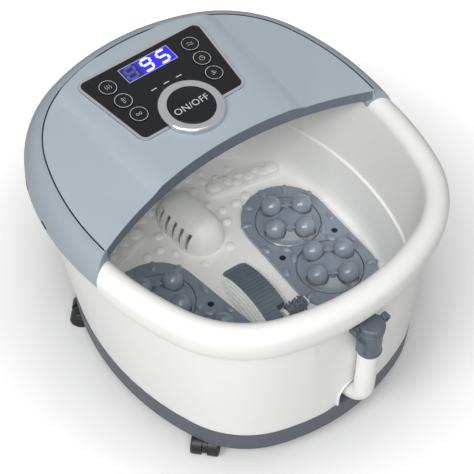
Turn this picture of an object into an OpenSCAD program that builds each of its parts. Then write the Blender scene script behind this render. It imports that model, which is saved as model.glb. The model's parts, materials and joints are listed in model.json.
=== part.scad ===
// Foot spa basin: a wheeled tub with a control cover over its back half.
// The user sits at the front (negative Y). Z is up and the wheels stand on Z = 0.

/* [Tub] */
// Width across the white rim
rim_width = 362; // [352:1:374]
// Length of the front half of the rim, from its widest line
rim_front = 204; // [198:1:212]
// Length of the back half of the rim, from its widest line
rim_back = 188; // [182:1:196]
// Corner radius of the rim at the front
rim_front_corner = 121; // [112:1:130]
// Corner radius of the rim at the back
rim_back_corner = 133; // [126:1:140]
// Height of the top of the rim
rim_height = 230; // [220:1:245]
// Radius of the rolled rim
roll_radius = 12; // [11:0.5:13]
// Depth of the skirt below the centre of the roll
skirt_depth = 28; // [25:1:31]
// Wall thickness of the mouldings
wall = 3; // [2.5:0.1:3.5]
// Height of the crease round the inside of the tub
crease_height = 133; // [115:1:150]
// Width of the step at that crease
crease_step = 2.5; // [1:0.5:3.5]
// Room between the shell and the tub's wall at that crease
crease_gap = 7.2; // [6:0.2:8]
// Inset of the flat floor from the base band's outside
floor_margin = 17; // [16:0.5:18]
// Height of the tub floor above the base band
floor_rise = 20; // [20:0.5:23]

/* [Body] */
// Width of the grey base band
base_width = 312; // [302:1:322]
// Length of the base in front of its widest line
base_front = 168; // [162:1:174]
// Length of the base behind its widest line
base_back = 174; // [171:1:180]
// Corner radius of the base
base_corner = 99; // [92:1:108]
// Ground clearance under the base
ground_clearance = 25; // [25:0.5:28]
// Height of the grey base band
band_height = 26; // [23:0.5:28]
// Inward taper of the base band
band_taper = 1; // [0.5:0.5:4]
// Inset of the shell's top edge from the rim's outside
shell_top_inset = 11.5; // [11:0.5:14]
// Distance of the flat drain face behind the front of the rim
drain_inset = 16.6; // [15.6:0.2:17.4]

/* [Cover] */
// Height of the cover at its front edge
cover_height = 241.5; // [239:0.5:250]
// Slope of the cover, up toward the back
cover_slope = 6; // [4:0.5:7]
// How far behind the middle the front arch reaches
arch_top = 20; // [12:1:26]
// Radius of the front arch
arch_radius = 399; // [370:1:440]
// Depth of the front lip
lip_depth = 12; // [8:0.5:14]
// Inset of the seam between cover border and cover panel
seam_inset = 18; // [16:0.5:20]
// Width of the seam
seam_gap = 0.8; // [0.5:0.1:1.2]
// Depth of the cover border's rounded shoulder
shoulder = 28; // [22:1:32]
// Height of the raised keystone on the cover
keystone_rise = 3; // [2:0.5:4]
// Half width of the keystone's top at its front
keystone_front = 78; // [76:1:84]
// Half width of the keystone's top at its back
keystone_back = 86; // [84:1:92]
// Width of the keystone's sloped sides
keystone_bevel = 13; // [9:1:16]

/* [Control panel] */
// Half width of the panel at its front
panel_front_half = 63; // [61:0.5:66]
// Half width of the panel at its back
panel_back_half = 74; // [72:0.5:77]
// Front edge of the panel
panel_front_y = 62; // [58:0.5:66]
// Back edge of the panel
panel_back_y = 157; // [154:0.5:160]
// Corner radius of the panel
panel_corner = 9; // [6:0.5:11]
// Width of the silver frame
frame_width = 2.6; // [2:0.1:3.4]
// Width of the display
display_width = 59; // [52:0.5:62]
// Height of the display
display_height = 20; // [17:0.5:22]
// Middle of the display
display_y = 138.5; // [136:0.5:140]
// Diameter of the small buttons
button_diameter = 19; // [16:0.5:20]
// Distance between small buttons along a row
button_pitch = 21.8; // [21.5:0.1:23]
// Middle button of each row, from the centre line
button_x = 47.5; // [46:0.5:49]
// Middle button of each row, from the middle of the part
button_y = 114; // [112:0.5:116]
// Sideways step from one button to the next
button_lean = 2.2; // [1:0.1:3]
// Travel of the small buttons
button_travel = 0.8; // [0.5:0.1:1]
// Diameter of the power button
power_diameter = 47; // [42:0.5:50]
// Diameter of the chrome ring round the power button
bezel_diameter = 66; // [62:0.5:70]
// Middle of the power button
power_y = 70; // [67:0.5:72]
// Travel of the power button
power_travel = 1.5; // [1:0.1:2]

/* [Massage plates] */
// Width of each foot plate
plate_width = 93; // [91:1:94]
// Distance between the round ends of a foot plate
plate_span = 86; // [80:1:87]
// Distance of a plate's middle from the centre line
plate_x = 81; // [80:0.5:81.5]
// Distance of a plate's middle in front of the middle
plate_y = 20.5; // [18:0.5:21]
// Splay of the plates
plate_splay = 5; // [3:0.5:6]
// Thickness of a foot plate
plate_thick = 4; // [3.5:0.5:5]
// Distance between the two turntables of a plate
table_span = 73.8; // [72.5:0.1:76]
// Diameter of a turntable
table_diameter = 69; // [64:0.5:70]
// Diameter of a massage ball
ball_diameter = 22; // [20:0.5:22.5]
// Distance between the two balls on an axle, and between the axles
ball_span = 31.5; // [30:0.5:32.5]
// Rise of the crown between the balls of a turntable
crown_rise = 8; // [5:0.5:9]
// Diameter of a ball axle
axle_diameter = 3; // [2.4:0.1:3.4]
// Turn of the turntables at rest
table_turn = -28; // [-80:1:80]
// Teeth of each spindle gear
gear_teeth = 30; // [24:2:36]

/* [Floor fittings] */
// Half width of the slotted dome
dome_radius = 25; // [24:0.5:27]
// Straight length of the slotted dome
dome_length = 34; // [30:1:38]
// Middle of the slotted dome
dome_y = 76; // [74:1:80]
// Height of the upright wall round the foot of the dome
dome_foot = 7; // [4:0.5:9]
// Number of slots on each side
dome_slots = 5; // [4:1:6]
// Width of a slot
slot_width = 5; // [4:0.2:5.6]
// Length of the pedicure bridge
bridge_length = 90; // [84:1:96]
// Width of the bridge's nubby flank on the left
left_flank = 14.5; // [12:0.5:15.5]
// Width of the bridge's smooth flank on the right
right_flank = 11; // [8:0.5:13]
// Rise of the pedicure bridge above the floor
bridge_rise = 13; // [11:0.5:16]
// Middle of the pedicure bridge
bridge_y = -38; // [-41:1:-35]
// Turn of the pedicure bridge
bridge_turn = 4; // [2:0.5:5]
// Width of the grey brush strip
brush_width = 28; // [24:1:30]
// Number of ribs on the brush strip
brush_ribs = 18; // [14:1:22]
// Diameter of the spiked roller
spur_diameter = 17; // [14:0.5:18]
// Length of the spiked roller
spur_length = 22; // [18:1:24]
// Distance of a toe bar's middle from the centre line
toe_bar_x = 86; // [82:1:88]
// Distance of a toe bar's middle behind the middle
toe_bar_y = 94; // [92:1:97]
// Length of a toe bar
toe_bar_length = 86; // [76:1:90]
// Width of a toe bar
toe_bar_width = 19; // [16:1:22]
// Height of a toe bar
toe_bar_height = 7; // [5:0.5:9]

/* [Drain] */
// Outside diameter of the drain elbow
elbow_diameter = 20; // [18:0.5:20.5]
// Bend radius of the drain elbow
elbow_bend = 24; // [20:0.5:25]
// Radius of the arched pocket round the outlet
outlet_radius = 17; // [16:0.5:19]
// Depth of that pocket
outlet_depth = 13; // [13:0.5:14]
// Length of the grey collar
collar_length = 35; // [30:1:40]
// Diameter of the grey collar
collar_diameter = 22; // [21:0.5:23]
// Length of the cap above the collar
cap_length = 5.5; // [5:0.5:8]
// Travel of the cap as it is pulled off
cap_travel = 5; // [3:0.5:7]

/* [Wheels] */
// Diameter of a caster wheel
wheel_diameter = 22; // [20:0.5:23]
// Width of one of the two wheels of a caster
wheel_width = 11; // [8:0.5:12]
// Distance of the swivel axes from the centre line
caster_x = 121; // [114:1:122]
// Distance of the front swivel axes in front of the middle
caster_front = 103; // [96:1:105]
// Distance of the back swivel axes behind the middle
caster_back = 92; // [86:1:98]
// Trail of the wheels behind the swivel axis
caster_trail = 11; // [9:0.5:12]
// Direction of the trail at rest, from straight sideways
caster_turn = 42; // [30:1:60]

/* [Hidden] */
$fn = 64;

// Radial clearance of a shaft in its hole
shaft_gap = 0.05;
// Clearance between pieces that move past each other
move_gap = 0.5;
// Clearance beside fixed pieces that drop into an opening
seat_gap = 0.3;
// Length of the big cutting tools
reach = 600;

// Plan curves: each half of an oval is five tangent arcs that meet where the outline turns by this
turn_cos = 0.936;
turn_sin = 0.352;
turn_side = atan2(turn_sin, turn_cos);
turn_end = 90 - turn_side;
widest_y = 10.3;
base_widest_y = -9.5;

// Heights worked out from the driving sizes
roll_z = rim_height - roll_radius;
skirt_z = roll_z - skirt_depth;
rim_inset = 2 * roll_radius;
ledge_z = roll_z - 9;
ledge_out = shell_top_inset - 2;
ledge_in = rim_inset - 1;
flange_out = 6;
band_z = ground_clearance + band_height;
floor_height = band_z + floor_rise;
pan_z = ground_clearance + wall;
fillet_rise = 8;
side_step = (rim_width - base_width) / 2;
floor_inset = side_step + floor_margin;
toe_inset = floor_inset - 4.5;
crease_level = swell((crease_height - band_z) / (ledge_z - band_z));
crease_out = (1 - crease_level) * side_step + crease_level * shell_top_inset;
crease_inset = round(10 * (crease_out + 2 * wall + crease_gap)) / 10;
crease_drop = 1.5;
well_depth = 6;
well_z = floor_height - well_depth;
well_gap = 1.5;
well_radius = table_diameter / 2 + well_gap;
under_floor = floor_height - wall;
arch_y = arch_top - arch_radius;
cover_front_y = -14;

// Massage drive
disc_thick = 4.5;
disc_z = floor_height + 0.5;
disc_top = disc_z + disc_thick;
ball_radius = ball_diameter / 2;
ball_z = disc_top + 7.5;
crown_foot = table_diameter / 2 - 4;
crown_top = 9;
spindle_radius = 5;
spindle_z = pan_z + 6;
spindle_top = disc_top - 3;
hub_radius = 9;
hub_z = well_z + 1;
gear_z = pan_z + 19;
gear_thick = 7;
motor_top = gear_z - 1;
motor_radius = 22;
seal_radius = 8;

// Cover stack, in the cover's own tilted frame where zero is its upper face
cover_thick = 4;
border_depth = 7;
rebate = 8;
skirt_drop = 75;
border_foot_z = ledge_z + wall;
pocket_depth = 1;
panel_thick = 2;
panel_z = keystone_rise - pocket_depth;
panel_top = panel_z + panel_thick;
frame_top = panel_top + 0.6;
board_top = -10;
board_thick = 1.6;
button_top = panel_top + 0.7;
bezel_rise = 5;
power_top = panel_top + 4;
bezel_bore = power_diameter + 2 * seat_gap;

// Drain
drain_face = rim_front - widest_y - drain_inset;
face_thick = 2;
cup_wall = 2;
pipe_radius = 5.5;
pipe_bore = 4.2;
sump_radius = 7;
sump_bore = 4.8;
elbow_bore = 3;
outlet_height = under_floor - pipe_radius - seat_gap;
outlet_back = outlet_depth - drain_face;
collar_gap = 2.3;
drain_y = -drain_face - collar_diameter / 2 - collar_gap;
outlet_y = drain_y + elbow_bend;
drain_hole_y = -122;
cap_room = 1.5;
collar_top = skirt_z - cap_room - cap_travel - cap_length;
collar_height = collar_top - collar_length;
cap_radius = collar_diameter / 2 + 1;

// Casters
wheel_radius = wheel_diameter / 2;
wheel_gap = 6;
web_thick = wheel_gap - 1;
stem_radius = 5;
stem_length = 15;
socket_radius = 9;
fork_radius = 6;
seat_depth = 1;

// Solves side and end radius of an oval quarter of w by h with corner radius rc.
// The radii come in eighths of a millimetre, so that neighbouring arcs meet exactly.
function quarter(w, h, rc) =
    let(across = w - (turn_cos - turn_sin) * rc)
    let(along = h - (turn_cos - turn_sin) * rc)
    let(side = 1 - turn_cos)
    let(wanted = (turn_sin * across - side * along) / (turn_sin * turn_sin - side * side))
    let(m = round(250 * across))
    let(odd = m - 2 * floor(m / 2))
    let(k = 2 * round((8 * wanted - odd) / 2) + odd)
    [(m - 11 * k) / 16, k / 8];

// Arcs of the back half, anticlockwise, each as centre x, centre y, radius, from, to
function back_arcs(w, y, h, rc) =
    let(q = quarter(w, h, rc))
    let(cx = w - q[0] + (q[0] - rc) * turn_cos)
    let(cy = y + (q[0] - rc) * turn_sin)
    [[w - q[0], y, q[0], 0, turn_side],
     [cx, cy, rc, turn_side, turn_end],
     [0, cy - (q[1] - rc) * turn_cos, q[1], turn_end, 180 - turn_end],
     [-cx, cy, rc, 180 - turn_end, 180 - turn_side],
     [q[0] - w, y, q[0], 180 - turn_side, 180]];

// Arcs of the front half, anticlockwise, as the back half turned round
function front_arcs(w, y, h, rc) =
    [for (a = back_arcs(w, -y, h, rc)) [-a[0], -a[1], a[2], a[3] + 180, a[4] + 180]];

rim_back_arcs = back_arcs(rim_width / 2, widest_y, rim_back, rim_back_corner);
rim_front_arcs = front_arcs(rim_width / 2, widest_y, rim_front, rim_front_corner);
rim_arcs = concat(rim_back_arcs, rim_front_arcs);
base_arcs = concat(back_arcs(base_width / 2, base_widest_y, base_back, base_corner),
    front_arcs(base_width / 2, base_widest_y, base_front, base_corner));
// The rim's front half with the arcs beside the cover's ends
roll_arcs = rim_front_arcs;
cover_arcs = concat([rim_front_arcs[4]], rim_back_arcs, [rim_front_arcs[0]]);

// Point of an oval, moved in by an inset, where its outward direction is the angle a
function oval_point(arcs, a, inset) =
    let(s = [for (k = arcs) if (a >= k[3] - 0.001 && a <= k[4] + 0.001) k][0])
    [s[0] + (s[2] - inset) * cos(a), s[1] + (s[2] - inset) * sin(a)];

function bend(p, q, r, n) =
    [for (i = [0:n]) let(t = i / n) (1 - t) * (1 - t) * p + 2 * t * (1 - t) * q + t * t * r];

function arc(cx, cy, r, from, to, n) =
    [for (i = [0:n]) let(a = from + (to - from) * i / n) [cx + r * cos(a), cy + r * sin(a)]];

// Sweeps a profile along arcs; the profile's x is zero on the oval and negative inside it.
// Each arc is swept a little too far and cut back, so that its end is exactly square.
module sweep(arcs) {
    for (a = arcs)
        translate([a[0], a[1], 0])
            difference() {
                rotate([0, 0, a[3]])
                    rotate_extrude(angle = a[4] - a[3] + 4)
                        translate([a[2], 0])
                            children();
                rotate([0, 0, a[4]])
                    translate([-reach, 0, -reach])
                        cube([2 * reach, reach, 2 * reach]);
            }
}

// Points round an oval, moved in by an inset
oval_step = 3;
function oval(arcs, inset) =
    [for (i = [0 : 360 / oval_step - 1]) oval_point(arcs, i * oval_step, inset)];

// Fills an oval, moved in by an inset, between two heights
module fill(arcs, inset, z0, z1) {
    translate([0, 0, z0])
        linear_extrude(z1 - z0)
            polygon(oval(arcs, inset));
}

// A flat strip with round ends along X
module strip(length, width, height) {
    translate([-length / 2 + width / 2, -width / 2, 0])
        cube([length - width, width, height]);
    for (x = [-1, 1])
        translate([x * (length - width) / 2, 0, 0])
            cylinder(h = height, d = width);
}

module pipe_y(radius, y0, y1) {
    translate([0, y0, 0])
        rotate([-90, 0, 0])
            cylinder(h = y1 - y0, r = radius);
}

module pipe_x(radius, x0, x1) {
    translate([x0, 0, 0])
        rotate([0, 90, 0])
            cylinder(h = x1 - x0, r = radius);
}

// Places what belongs to a foot plate: side is -1 on the left and 1 on the right
module at_plate(side) {
    translate([side * plate_x, -plate_y, 0])
        rotate([0, 0, -side * plate_splay])
            children();
}

// Places what belongs to a turntable: rear is 1 at the back and -1 at the front
module at_table(side, rear) {
    at_plate(side)
        translate([0, rear * table_span / 2, 0])
            children();
}

module at_tables() {
    for (side = [-1, 1])
        for (rear = [-1, 1])
            at_table(side, rear)
                children();
}

// Places what belongs to the cover, in its tilted frame
module on_cover() {
    translate([0, cover_front_y, cover_height])
        rotate([cover_slope, 0, 0])
            translate([0, -cover_front_y, 0])
                children();
}

// The upright cylinder that cuts the cover's front arch
module arch(more) {
    translate([0, arch_y, 0])
        cylinder(h = reach, r = arch_radius + more, $fn = 200);
}

module at_casters() {
    for (side = [-1, 1]) {
        translate([side * caster_x, -caster_front, 0])
            children();
        translate([side * caster_x, caster_back, 0])
            children();
    }
}

// Tub

tub_inner_curve = bend([-toe_inset, floor_height + fillet_rise], [-toe_inset - 3, floor_height],
    [-floor_inset, floor_height], 5);
tub_under_curve = bend([-floor_inset, under_floor], [-toe_inset - 1, under_floor],
    [wall - toe_inset, floor_height + fillet_rise], 3);

// Outside of the tub's upper wall at a height
function wall_x(z) =
    wall - crease_inset + (crease_inset - rim_inset) * (z - crease_height) / (roll_z - crease_height);

module tub_wall_profile() {
    step_in = crease_inset + crease_step;
    polygon(concat([[-rim_inset, roll_z], [-crease_inset, crease_height],
        [-step_in, crease_height - crease_drop]], tub_inner_curve, tub_under_curve,
        [[wall - step_in, crease_height - wall - crease_drop],
        [wall_x(crease_height - wall), crease_height - wall], [wall_x(ledge_z), ledge_z],
        [-ledge_out, ledge_z], [-ledge_out, ledge_z + wall], [wall_x(ledge_z + wall), ledge_z + wall],
        [wall - rim_inset, roll_z]]));
}

module tub_roll_profile() {
    outer_foot = [-7, skirt_z];
    outer_knee = [0, skirt_z + 9];
    polygon(concat(bend(outer_foot, outer_knee, [0, roll_z], 6),
        arc(-roll_radius, roll_z, roll_radius, 12, 180, 14),
        arc(-roll_radius, roll_z, roll_radius - wall, 180, 0, 12),
        bend([-wall, roll_z - 1], outer_knee - [wall, 0], outer_foot - [wall, 0], 6)));
}

module tub_flange_profile() {
    translate([-rim_inset, roll_z])
        square([rim_inset - flange_out, wall]);
}

screw_inset = 13;
screw_spots = [for (side = [-1, 1]) for (x = [-1, 1]) [side, x]];

module at_screws() {
    for (s = screw_spots)
        at_plate(s[0])
            translate([s[1] * (plate_width / 2 - screw_inset), 0, 0])
                children();
}

toe_bar_turn = 13;

module toe_bar(side) {
    translate([side * toe_bar_x, toe_bar_y, floor_height - 1])
        rotate([0, 0, -side * toe_bar_turn])
            strip(toe_bar_length, toe_bar_width, toe_bar_height + 1);
}

module inner_tub() {
    color("white") {
        difference() {
            union() {
                sweep(rim_arcs)
                    tub_wall_profile();
                fill(rim_arcs, floor_inset - 0.6, under_floor, floor_height);
                at_tables()
                    translate([0, 0, well_z - wall])
                        cylinder(h = well_depth + wall, r = well_radius + wall);
                at_screws()
                    translate([0, 0, under_floor - 6])
                        cylinder(h = 6 + wall / 2, r = 4.5);
                for (side = [-1, 1])
                    toe_bar(side);
            }
            at_tables() {
                translate([0, 0, well_z])
                    cylinder(h = well_depth + wall, r = well_radius);
                translate([0, 0, well_z - 2 * wall])
                    cylinder(h = 3 * wall, r = seal_radius);
            }
            at_screws()
                translate([0, 0, under_floor - 8])
                    cylinder(h = 20, r = screw_radius);
            heater_posts()
                translate([0, 0, under_floor - 1])
                    cylinder(h = wall + 2, r = heater_radius);
            translate([0, drain_hole_y, under_floor - 1])
                cylinder(h = wall + 2, r = pipe_bore);
        }
        intersection() {
            sweep(roll_arcs)
                tub_roll_profile();
            arch(-seat_gap);
        }
        difference() {
            sweep(cover_arcs)
                tub_flange_profile();
            arch(-seat_gap);
        }
    }
}

// Outer shell: lofted from the base oval to the rim oval

loft_step = 4;
loft_angles = [for (i = [0 : 360 / loft_step - 1]) i * loft_step];
loft_levels = 4;
shell_foot_inset = 0.4;

function loft_ring(t, inset, z) =
    [for (a = loft_angles)
        let(p = (1 - t) * oval_point(base_arcs, a, shell_foot_inset + inset))
        let(q = t * oval_point(rim_arcs, a, shell_top_inset + inset))
        [p[0] + q[0], p[1] + q[1], z]];

// The wall swells a little between its foot and its top
function swell(t) = t + 0.35 * t * (1 - t);

function loft_rings(inset) =
    [for (k = [0 : loft_levels])
        let(t = k / loft_levels)
        loft_ring(swell(t), inset, band_z + t * (ledge_z - band_z))];

function ring_faces(a, b, n, flip) =
    [for (i = [0 : n - 1])
        let(j = (i + 1) % n)
        each flip
            ? [[a + i, b + j, a + j], [a + i, b + i, b + j]]
            : [[a + i, a + j, b + j], [a + i, b + j, b + i]]];

module shell_loft() {
    n = len(loft_angles);
    m = loft_levels;
    outside = loft_rings(0);
    inside = loft_rings(wall);
    inner_base = n * (m + 1);
    polyhedron(
        points = concat([for (r = outside) each r], [for (r = inside) each r]),
        faces = concat(
            [for (k = [0 : m - 1]) each ring_faces(k * n, (k + 1) * n, n, true)],
            [for (k = [0 : m - 1]) each ring_faces(inner_base + k * n, inner_base + (k + 1) * n, n, false)],
            ring_faces(0, inner_base, n, false),
            ring_faces(m * n, inner_base + m * n, n, true)));
}

module shell_core() {
    n = len(loft_angles);
    m = loft_levels;
    polyhedron(
        points = [for (r = loft_rings(wall / 2)) each r],
        faces = concat(
            [for (k = [0 : m - 1]) each ring_faces(k * n, (k + 1) * n, n, true)],
            [[for (i = [0 : n - 1]) i]],
            [[for (i = [0 : n - 1]) m * n + n - 1 - i]]));
}

// Everything in front of the flat drain face, with a margin
module drain_recess(margin) {
    translate([-reach / 2, -drain_face - reach + margin, 0])
        cube([reach, reach, reach]);
}

// Arch round the outlet that stands on the base band
module outlet_arch(radius, y0, y1) {
    intersection() {
        union() {
            translate([0, 0, outlet_height])
                pipe_y(radius, y0, y1);
            translate([-radius, y0, 0])
                cube([2 * radius, y1 - y0, outlet_height]);
        }
        translate([-reach / 2, -reach / 2, band_z])
            cube([reach, reach, reach]);
    }
}

module outer_shell() {
    color("whitesmoke")
        difference() {
            union() {
                difference() {
                    shell_loft();
                    drain_recess(face_thick);
                }
                intersection() {
                    shell_core();
                    difference() {
                        drain_recess(face_thick);
                        drain_recess(0);
                    }
                }
                outlet_arch(outlet_radius + cup_wall, -drain_face, outlet_back + cup_wall);
            }
            outlet_arch(outlet_radius, -drain_face - 1, outlet_back);
            translate([0, 0, outlet_height])
                pipe_y(pipe_radius + seat_gap, outlet_back - 1, outlet_back + cup_wall + 1);
        }
}

// Base

module band_profile() {
    foot = band_taper;
    lip = wall + 1.2;
    polygon([[-foot, ground_clearance], [0, band_z], [-lip, band_z], [-lip, band_z + 6],
        [-lip - 2.5, band_z + 6], [-lip - 2.5, band_z - 4], [-foot - wall - 1, pan_z],
        [-foot - wall - 4, pan_z], [-foot - wall - 4, ground_clearance]]);
}

// Ledge of the base under the outlet pocket
module outlet_sill() {
    half = outlet_radius + cup_wall;
    intersection() {
        fill(base_arcs, wall, band_z - wall, band_z);
        translate([-half, -reach, 0])
            cube([2 * half, reach + outlet_back + cup_wall, reach]);
    }
}

lip_gap = 46;
lip_gap_y = -150;

module base_pan() {
    color("slategray")
        difference() {
            union() {
                sweep(base_arcs)
                    band_profile();
                outlet_sill();
                fill(base_arcs, band_taper + wall + 3.5, ground_clearance, pan_z);
                at_casters()
                    translate([0, 0, pan_z - wall / 2])
                        cylinder(h = stem_length + 1.5, r = socket_radius);
                for (side = [-1, 1])
                    at_table(side, -1)
                        translate([0, 0, pan_z - wall / 2])
                            cylinder(h = 12, r = socket_radius);
                at_board()
                    translate([0, 0, pan_z - wall / 2])
                        cylinder(h = board_stand + wall / 2, r = 3);
            }
            translate([-lip_gap, -reach, band_z])
                cube([2 * lip_gap, reach + lip_gap_y, 20]);
            at_casters()
                translate([0, 0, ground_clearance - 1]) {
                    cylinder(h = stem_length + 1 + shaft_gap, r = stem_radius + shaft_gap);
                    cylinder(h = seat_depth + 1, r = fork_radius + 2);
                }
            for (side = [-1, 1])
                at_table(side, -1)
                    translate([0, 0, spindle_z])
                        cylinder(h = 20, r = spindle_radius + shaft_gap);
            for (i = [-4:4])
                translate([i * 9 - 2, -28, ground_clearance - 1])
                    cube([4, 40, wall + 2]);
            translate([gland_x, gland_y, ground_clearance - 1]) {
                cylinder(h = wall + 2, r = gland_radius);
                cylinder(h = seat_depth + 1, r = gland_radius + gland_flange + seat_gap);
            }
        }
}

// Cover

// Points of the rounded shoulder, a skin's thickness in
function shoulder_curve(skin, from, to, n) =
    [for (i = [0:n])
        let(t = from + (to - from) * i / n)
        [(seam_inset - skin) * cos(t) - seam_inset, (shoulder - skin) * sin(t) - shoulder]];

module border_profile() {
    inner_from = asin((shoulder - border_depth) / (shoulder - wall));
    polygon(concat([[0, -skirt_drop]],
        shoulder_curve(0, 0, 90, 10),
        [[-seam_inset, -cover_thick], [-seam_inset - rebate, -cover_thick],
         [-seam_inset - rebate, -border_depth]],
        shoulder_curve(wall, inner_from, 0, 6),
        [[-wall, -skirt_drop]]));
}

// The tilted skirt stands this far behind the rim's oval at the height of its foot
skirt_shift = (rim_back * tan(cover_slope) + cover_height - border_foot_z) * sin(cover_slope);
foot_out = 1.5;
foot_in = ledge_in - 2.5;
web_z = roll_z + wall + move_gap;

// The inside of the border, for the webs that close its two front ends
module border_fill_profile() {
    skin = wall / 2;
    shelf = seam_inset + rebate - 1;
    polygon(concat(shoulder_curve(skin, 0, 80, 8),
        [[skin - seam_inset, -cover_thick - skin], [-shelf, -cover_thick - skin],
         [-shelf, -shoulder - 25], [-skin, -shoulder - 25]]));
}

module border_webs() {
    intersection() {
        on_cover()
            sweep([rim_front_arcs[0], rim_front_arcs[4]])
                border_fill_profile();
        difference() {
            arch(wall);
            arch(-1);
            translate([-reach / 2, -reach / 2, web_z - reach])
                cube([reach, reach, reach]);
        }
    }
}

module cover_border() {
    color("lightsteelblue")
        difference() {
            union() {
                on_cover()
                    sweep(cover_arcs)
                        border_profile();
                translate([0, skirt_shift, 0])
                    sweep(cover_arcs)
                        translate([-foot_in, border_foot_z])
                            square([foot_in - foot_out, wall]);
                border_webs();
            }
            arch(0);
            translate([-reach / 2, -reach / 2, border_foot_z - reach])
                cube([reach, reach, reach]);
        }
}

keystone_far = 175;

// The raised keystone: flat on top, with sloped sides that widen toward the back
module keystone() {
    lean = atan2(keystone_back - keystone_front, keystone_far - cover_front_y);
    bevel = atan2(keystone_rise, keystone_bevel);
    difference() {
        translate([-keystone_back - 60, cover_front_y - 30, -cover_thick / 2])
            cube([2 * keystone_back + 120, keystone_far - cover_front_y + 30,
                keystone_rise + cover_thick / 2]);
        for (side = [-1, 1])
            translate([side * keystone_front, cover_front_y, keystone_rise])
                rotate([0, 0, -side * lean])
                    rotate([0, side * bevel, 0])
                        translate([side > 0 ? 0 : -reach, -reach, 0])
                            cube([reach, 2 * reach, reach]);
    }
}

// Keystone outline of the control panel with round corners, moved in by an inset
corner_steps = 8;

module panel_area(inset) {
    r = panel_corner - inset;
    front = [panel_front_half - panel_corner, panel_front_y + panel_corner];
    back = [panel_back_half - panel_corner, panel_back_y - panel_corner];
    lean = atan2(back[0] - front[0], back[1] - front[1]);
    polygon(concat(arc(front[0], front[1], r, -90, -lean, corner_steps),
        arc(back[0], back[1], r, -lean, 90, corner_steps),
        arc(-back[0], back[1], r, 90, 180 + lean, corner_steps),
        arc(-front[0], front[1], r, 180 + lean, 270, corner_steps)));
}

module panel_solid(inset, z0, z1) {
    translate([0, 0, z0])
        linear_extrude(z1 - z0)
            panel_area(inset);
}

button_spots = [for (side = [-1, 1]) for (k = [1, 0, -1])
    [side * (button_x + k * button_lean), button_y + k * button_pitch]];

module at_power() {
    translate([0, power_y, 0])
        children();
}

module at_buttons() {
    for (p = button_spots)
        translate([p[0], p[1], 0])
            children();
}

// Openings that the cover panel and the control panel share
module panel_openings(z0, z1) {
    at_buttons()
        translate([0, 0, z0])
            cylinder(h = z1 - z0, d = button_diameter + 2 * seat_gap);
    at_power()
        translate([0, 0, z0])
            cylinder(h = z1 - z0, d = bezel_bore);
    translate([-display_width / 2 - seat_gap, display_y - display_height / 2 - seat_gap, z0])
        cube([display_width + 2 * seat_gap, display_height + 2 * seat_gap, z1 - z0]);
}

post_x = 36;
post_front = 14;
post_back = 8;
board_posts = [for (x = [-1, 1])
    for (y = [panel_front_y + post_front, panel_back_y - post_back]) [x * post_x, y]];

module cover_panel() {
    color("lightsteelblue")
        difference() {
            union() {
                on_cover()
                    difference() {
                        union() {
                            fill(rim_arcs, seam_inset + seam_gap, -cover_thick, 0);
                            intersection() {
                                keystone();
                                fill(rim_arcs, seam_inset + seam_gap + 1, -cover_thick, keystone_rise);
                            }
                            for (p = board_posts)
                                translate([p[0], p[1], board_top])
                                    cylinder(h = -board_top, r = 3);
                        }
                        panel_solid(-seat_gap, panel_z, keystone_rise + 1);
                        panel_openings(-cover_thick - 1, keystone_rise);
                    }
                intersection() {
                    on_cover()
                        fill(rim_arcs, seam_inset + rebate + 1, -lip_depth, -cover_thick / 2);
                    difference() {
                        arch(wall);
                        arch(-1);
                    }
                }
            }
            arch(0);
        }
}

module panel_frame() {
    color("silver")
        on_cover()
            difference() {
                panel_solid(0, panel_z, frame_top);
                panel_solid(frame_width, panel_z - 1, frame_top + 1);
                at_power()
                    cylinder(h = 20, d = bezel_diameter + 2 * seat_gap);
            }
}

module control_panel() {
    color("black")
        on_cover()
            difference() {
                panel_solid(frame_width, panel_z, panel_top);
                panel_openings(panel_z - 1, panel_top + 1);
            }
}

module display_window() {
    color("blue")
        on_cover() {
            translate([-display_width / 2, display_y - display_height / 2, board_top + 4])
                cube([display_width, display_height, panel_top - board_top - 4]);
            translate([-display_width / 2 + 4, display_y - display_height / 2 + 3, board_top])
                cube([display_width - 8, display_height - 6, 5]);
        }
}

module control_board() {
    color("darkgreen")
        on_cover() {
            translate([-56, panel_front_y - 14, board_top - board_thick])
                cube([112, panel_back_y - panel_front_y + 8, board_thick]);
            at_buttons()
                translate([-3, -3, board_top])
                    cube([6, 6, 2.5]);
            at_power()
                translate([-6, -6, board_top])
                    cube([12, 12, 2.5]);
        }
}

module small_button(k) {
    color("black")
        on_cover()
            translate([button_spots[k - 1][0], button_spots[k - 1][1], 0]) {
                translate([0, 0, -cover_thick])
                    cylinder(h = cover_thick + button_top, d = button_diameter);
                translate([0, 0, board_top + 2.5 + button_travel + seat_gap])
                    cylinder(h = 4, r = 3);
            }
}

module power_bezel() {
    color("gainsboro")
        on_cover()
            at_power()
                rotate_extrude()
                    polygon(concat([[bezel_bore / 2, panel_top], [bezel_diameter / 2, panel_top]],
                        arc(bezel_diameter / 2 - 4, panel_top + bezel_rise - 4, 4, 0, 70, 5),
                        [[bezel_bore / 2, panel_top + bezel_rise - 1.2]]));
}

module power_button() {
    color("black")
        on_cover()
            at_power() {
                translate([0, 0, -cover_thick])
                    rotate_extrude()
                        polygon(concat([[0, 0], [power_diameter / 2, 0]],
                            arc(power_diameter / 2 - 1.5, cover_thick + power_top - 1.5, 1.5, 0, 90, 4),
                            [[0, cover_thick + power_top]]));
                translate([0, 0, board_top + 2.5 + power_travel + seat_gap])
                    cylinder(h = 4, r = 5);
            }
}

// Massage plates and their drive

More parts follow.
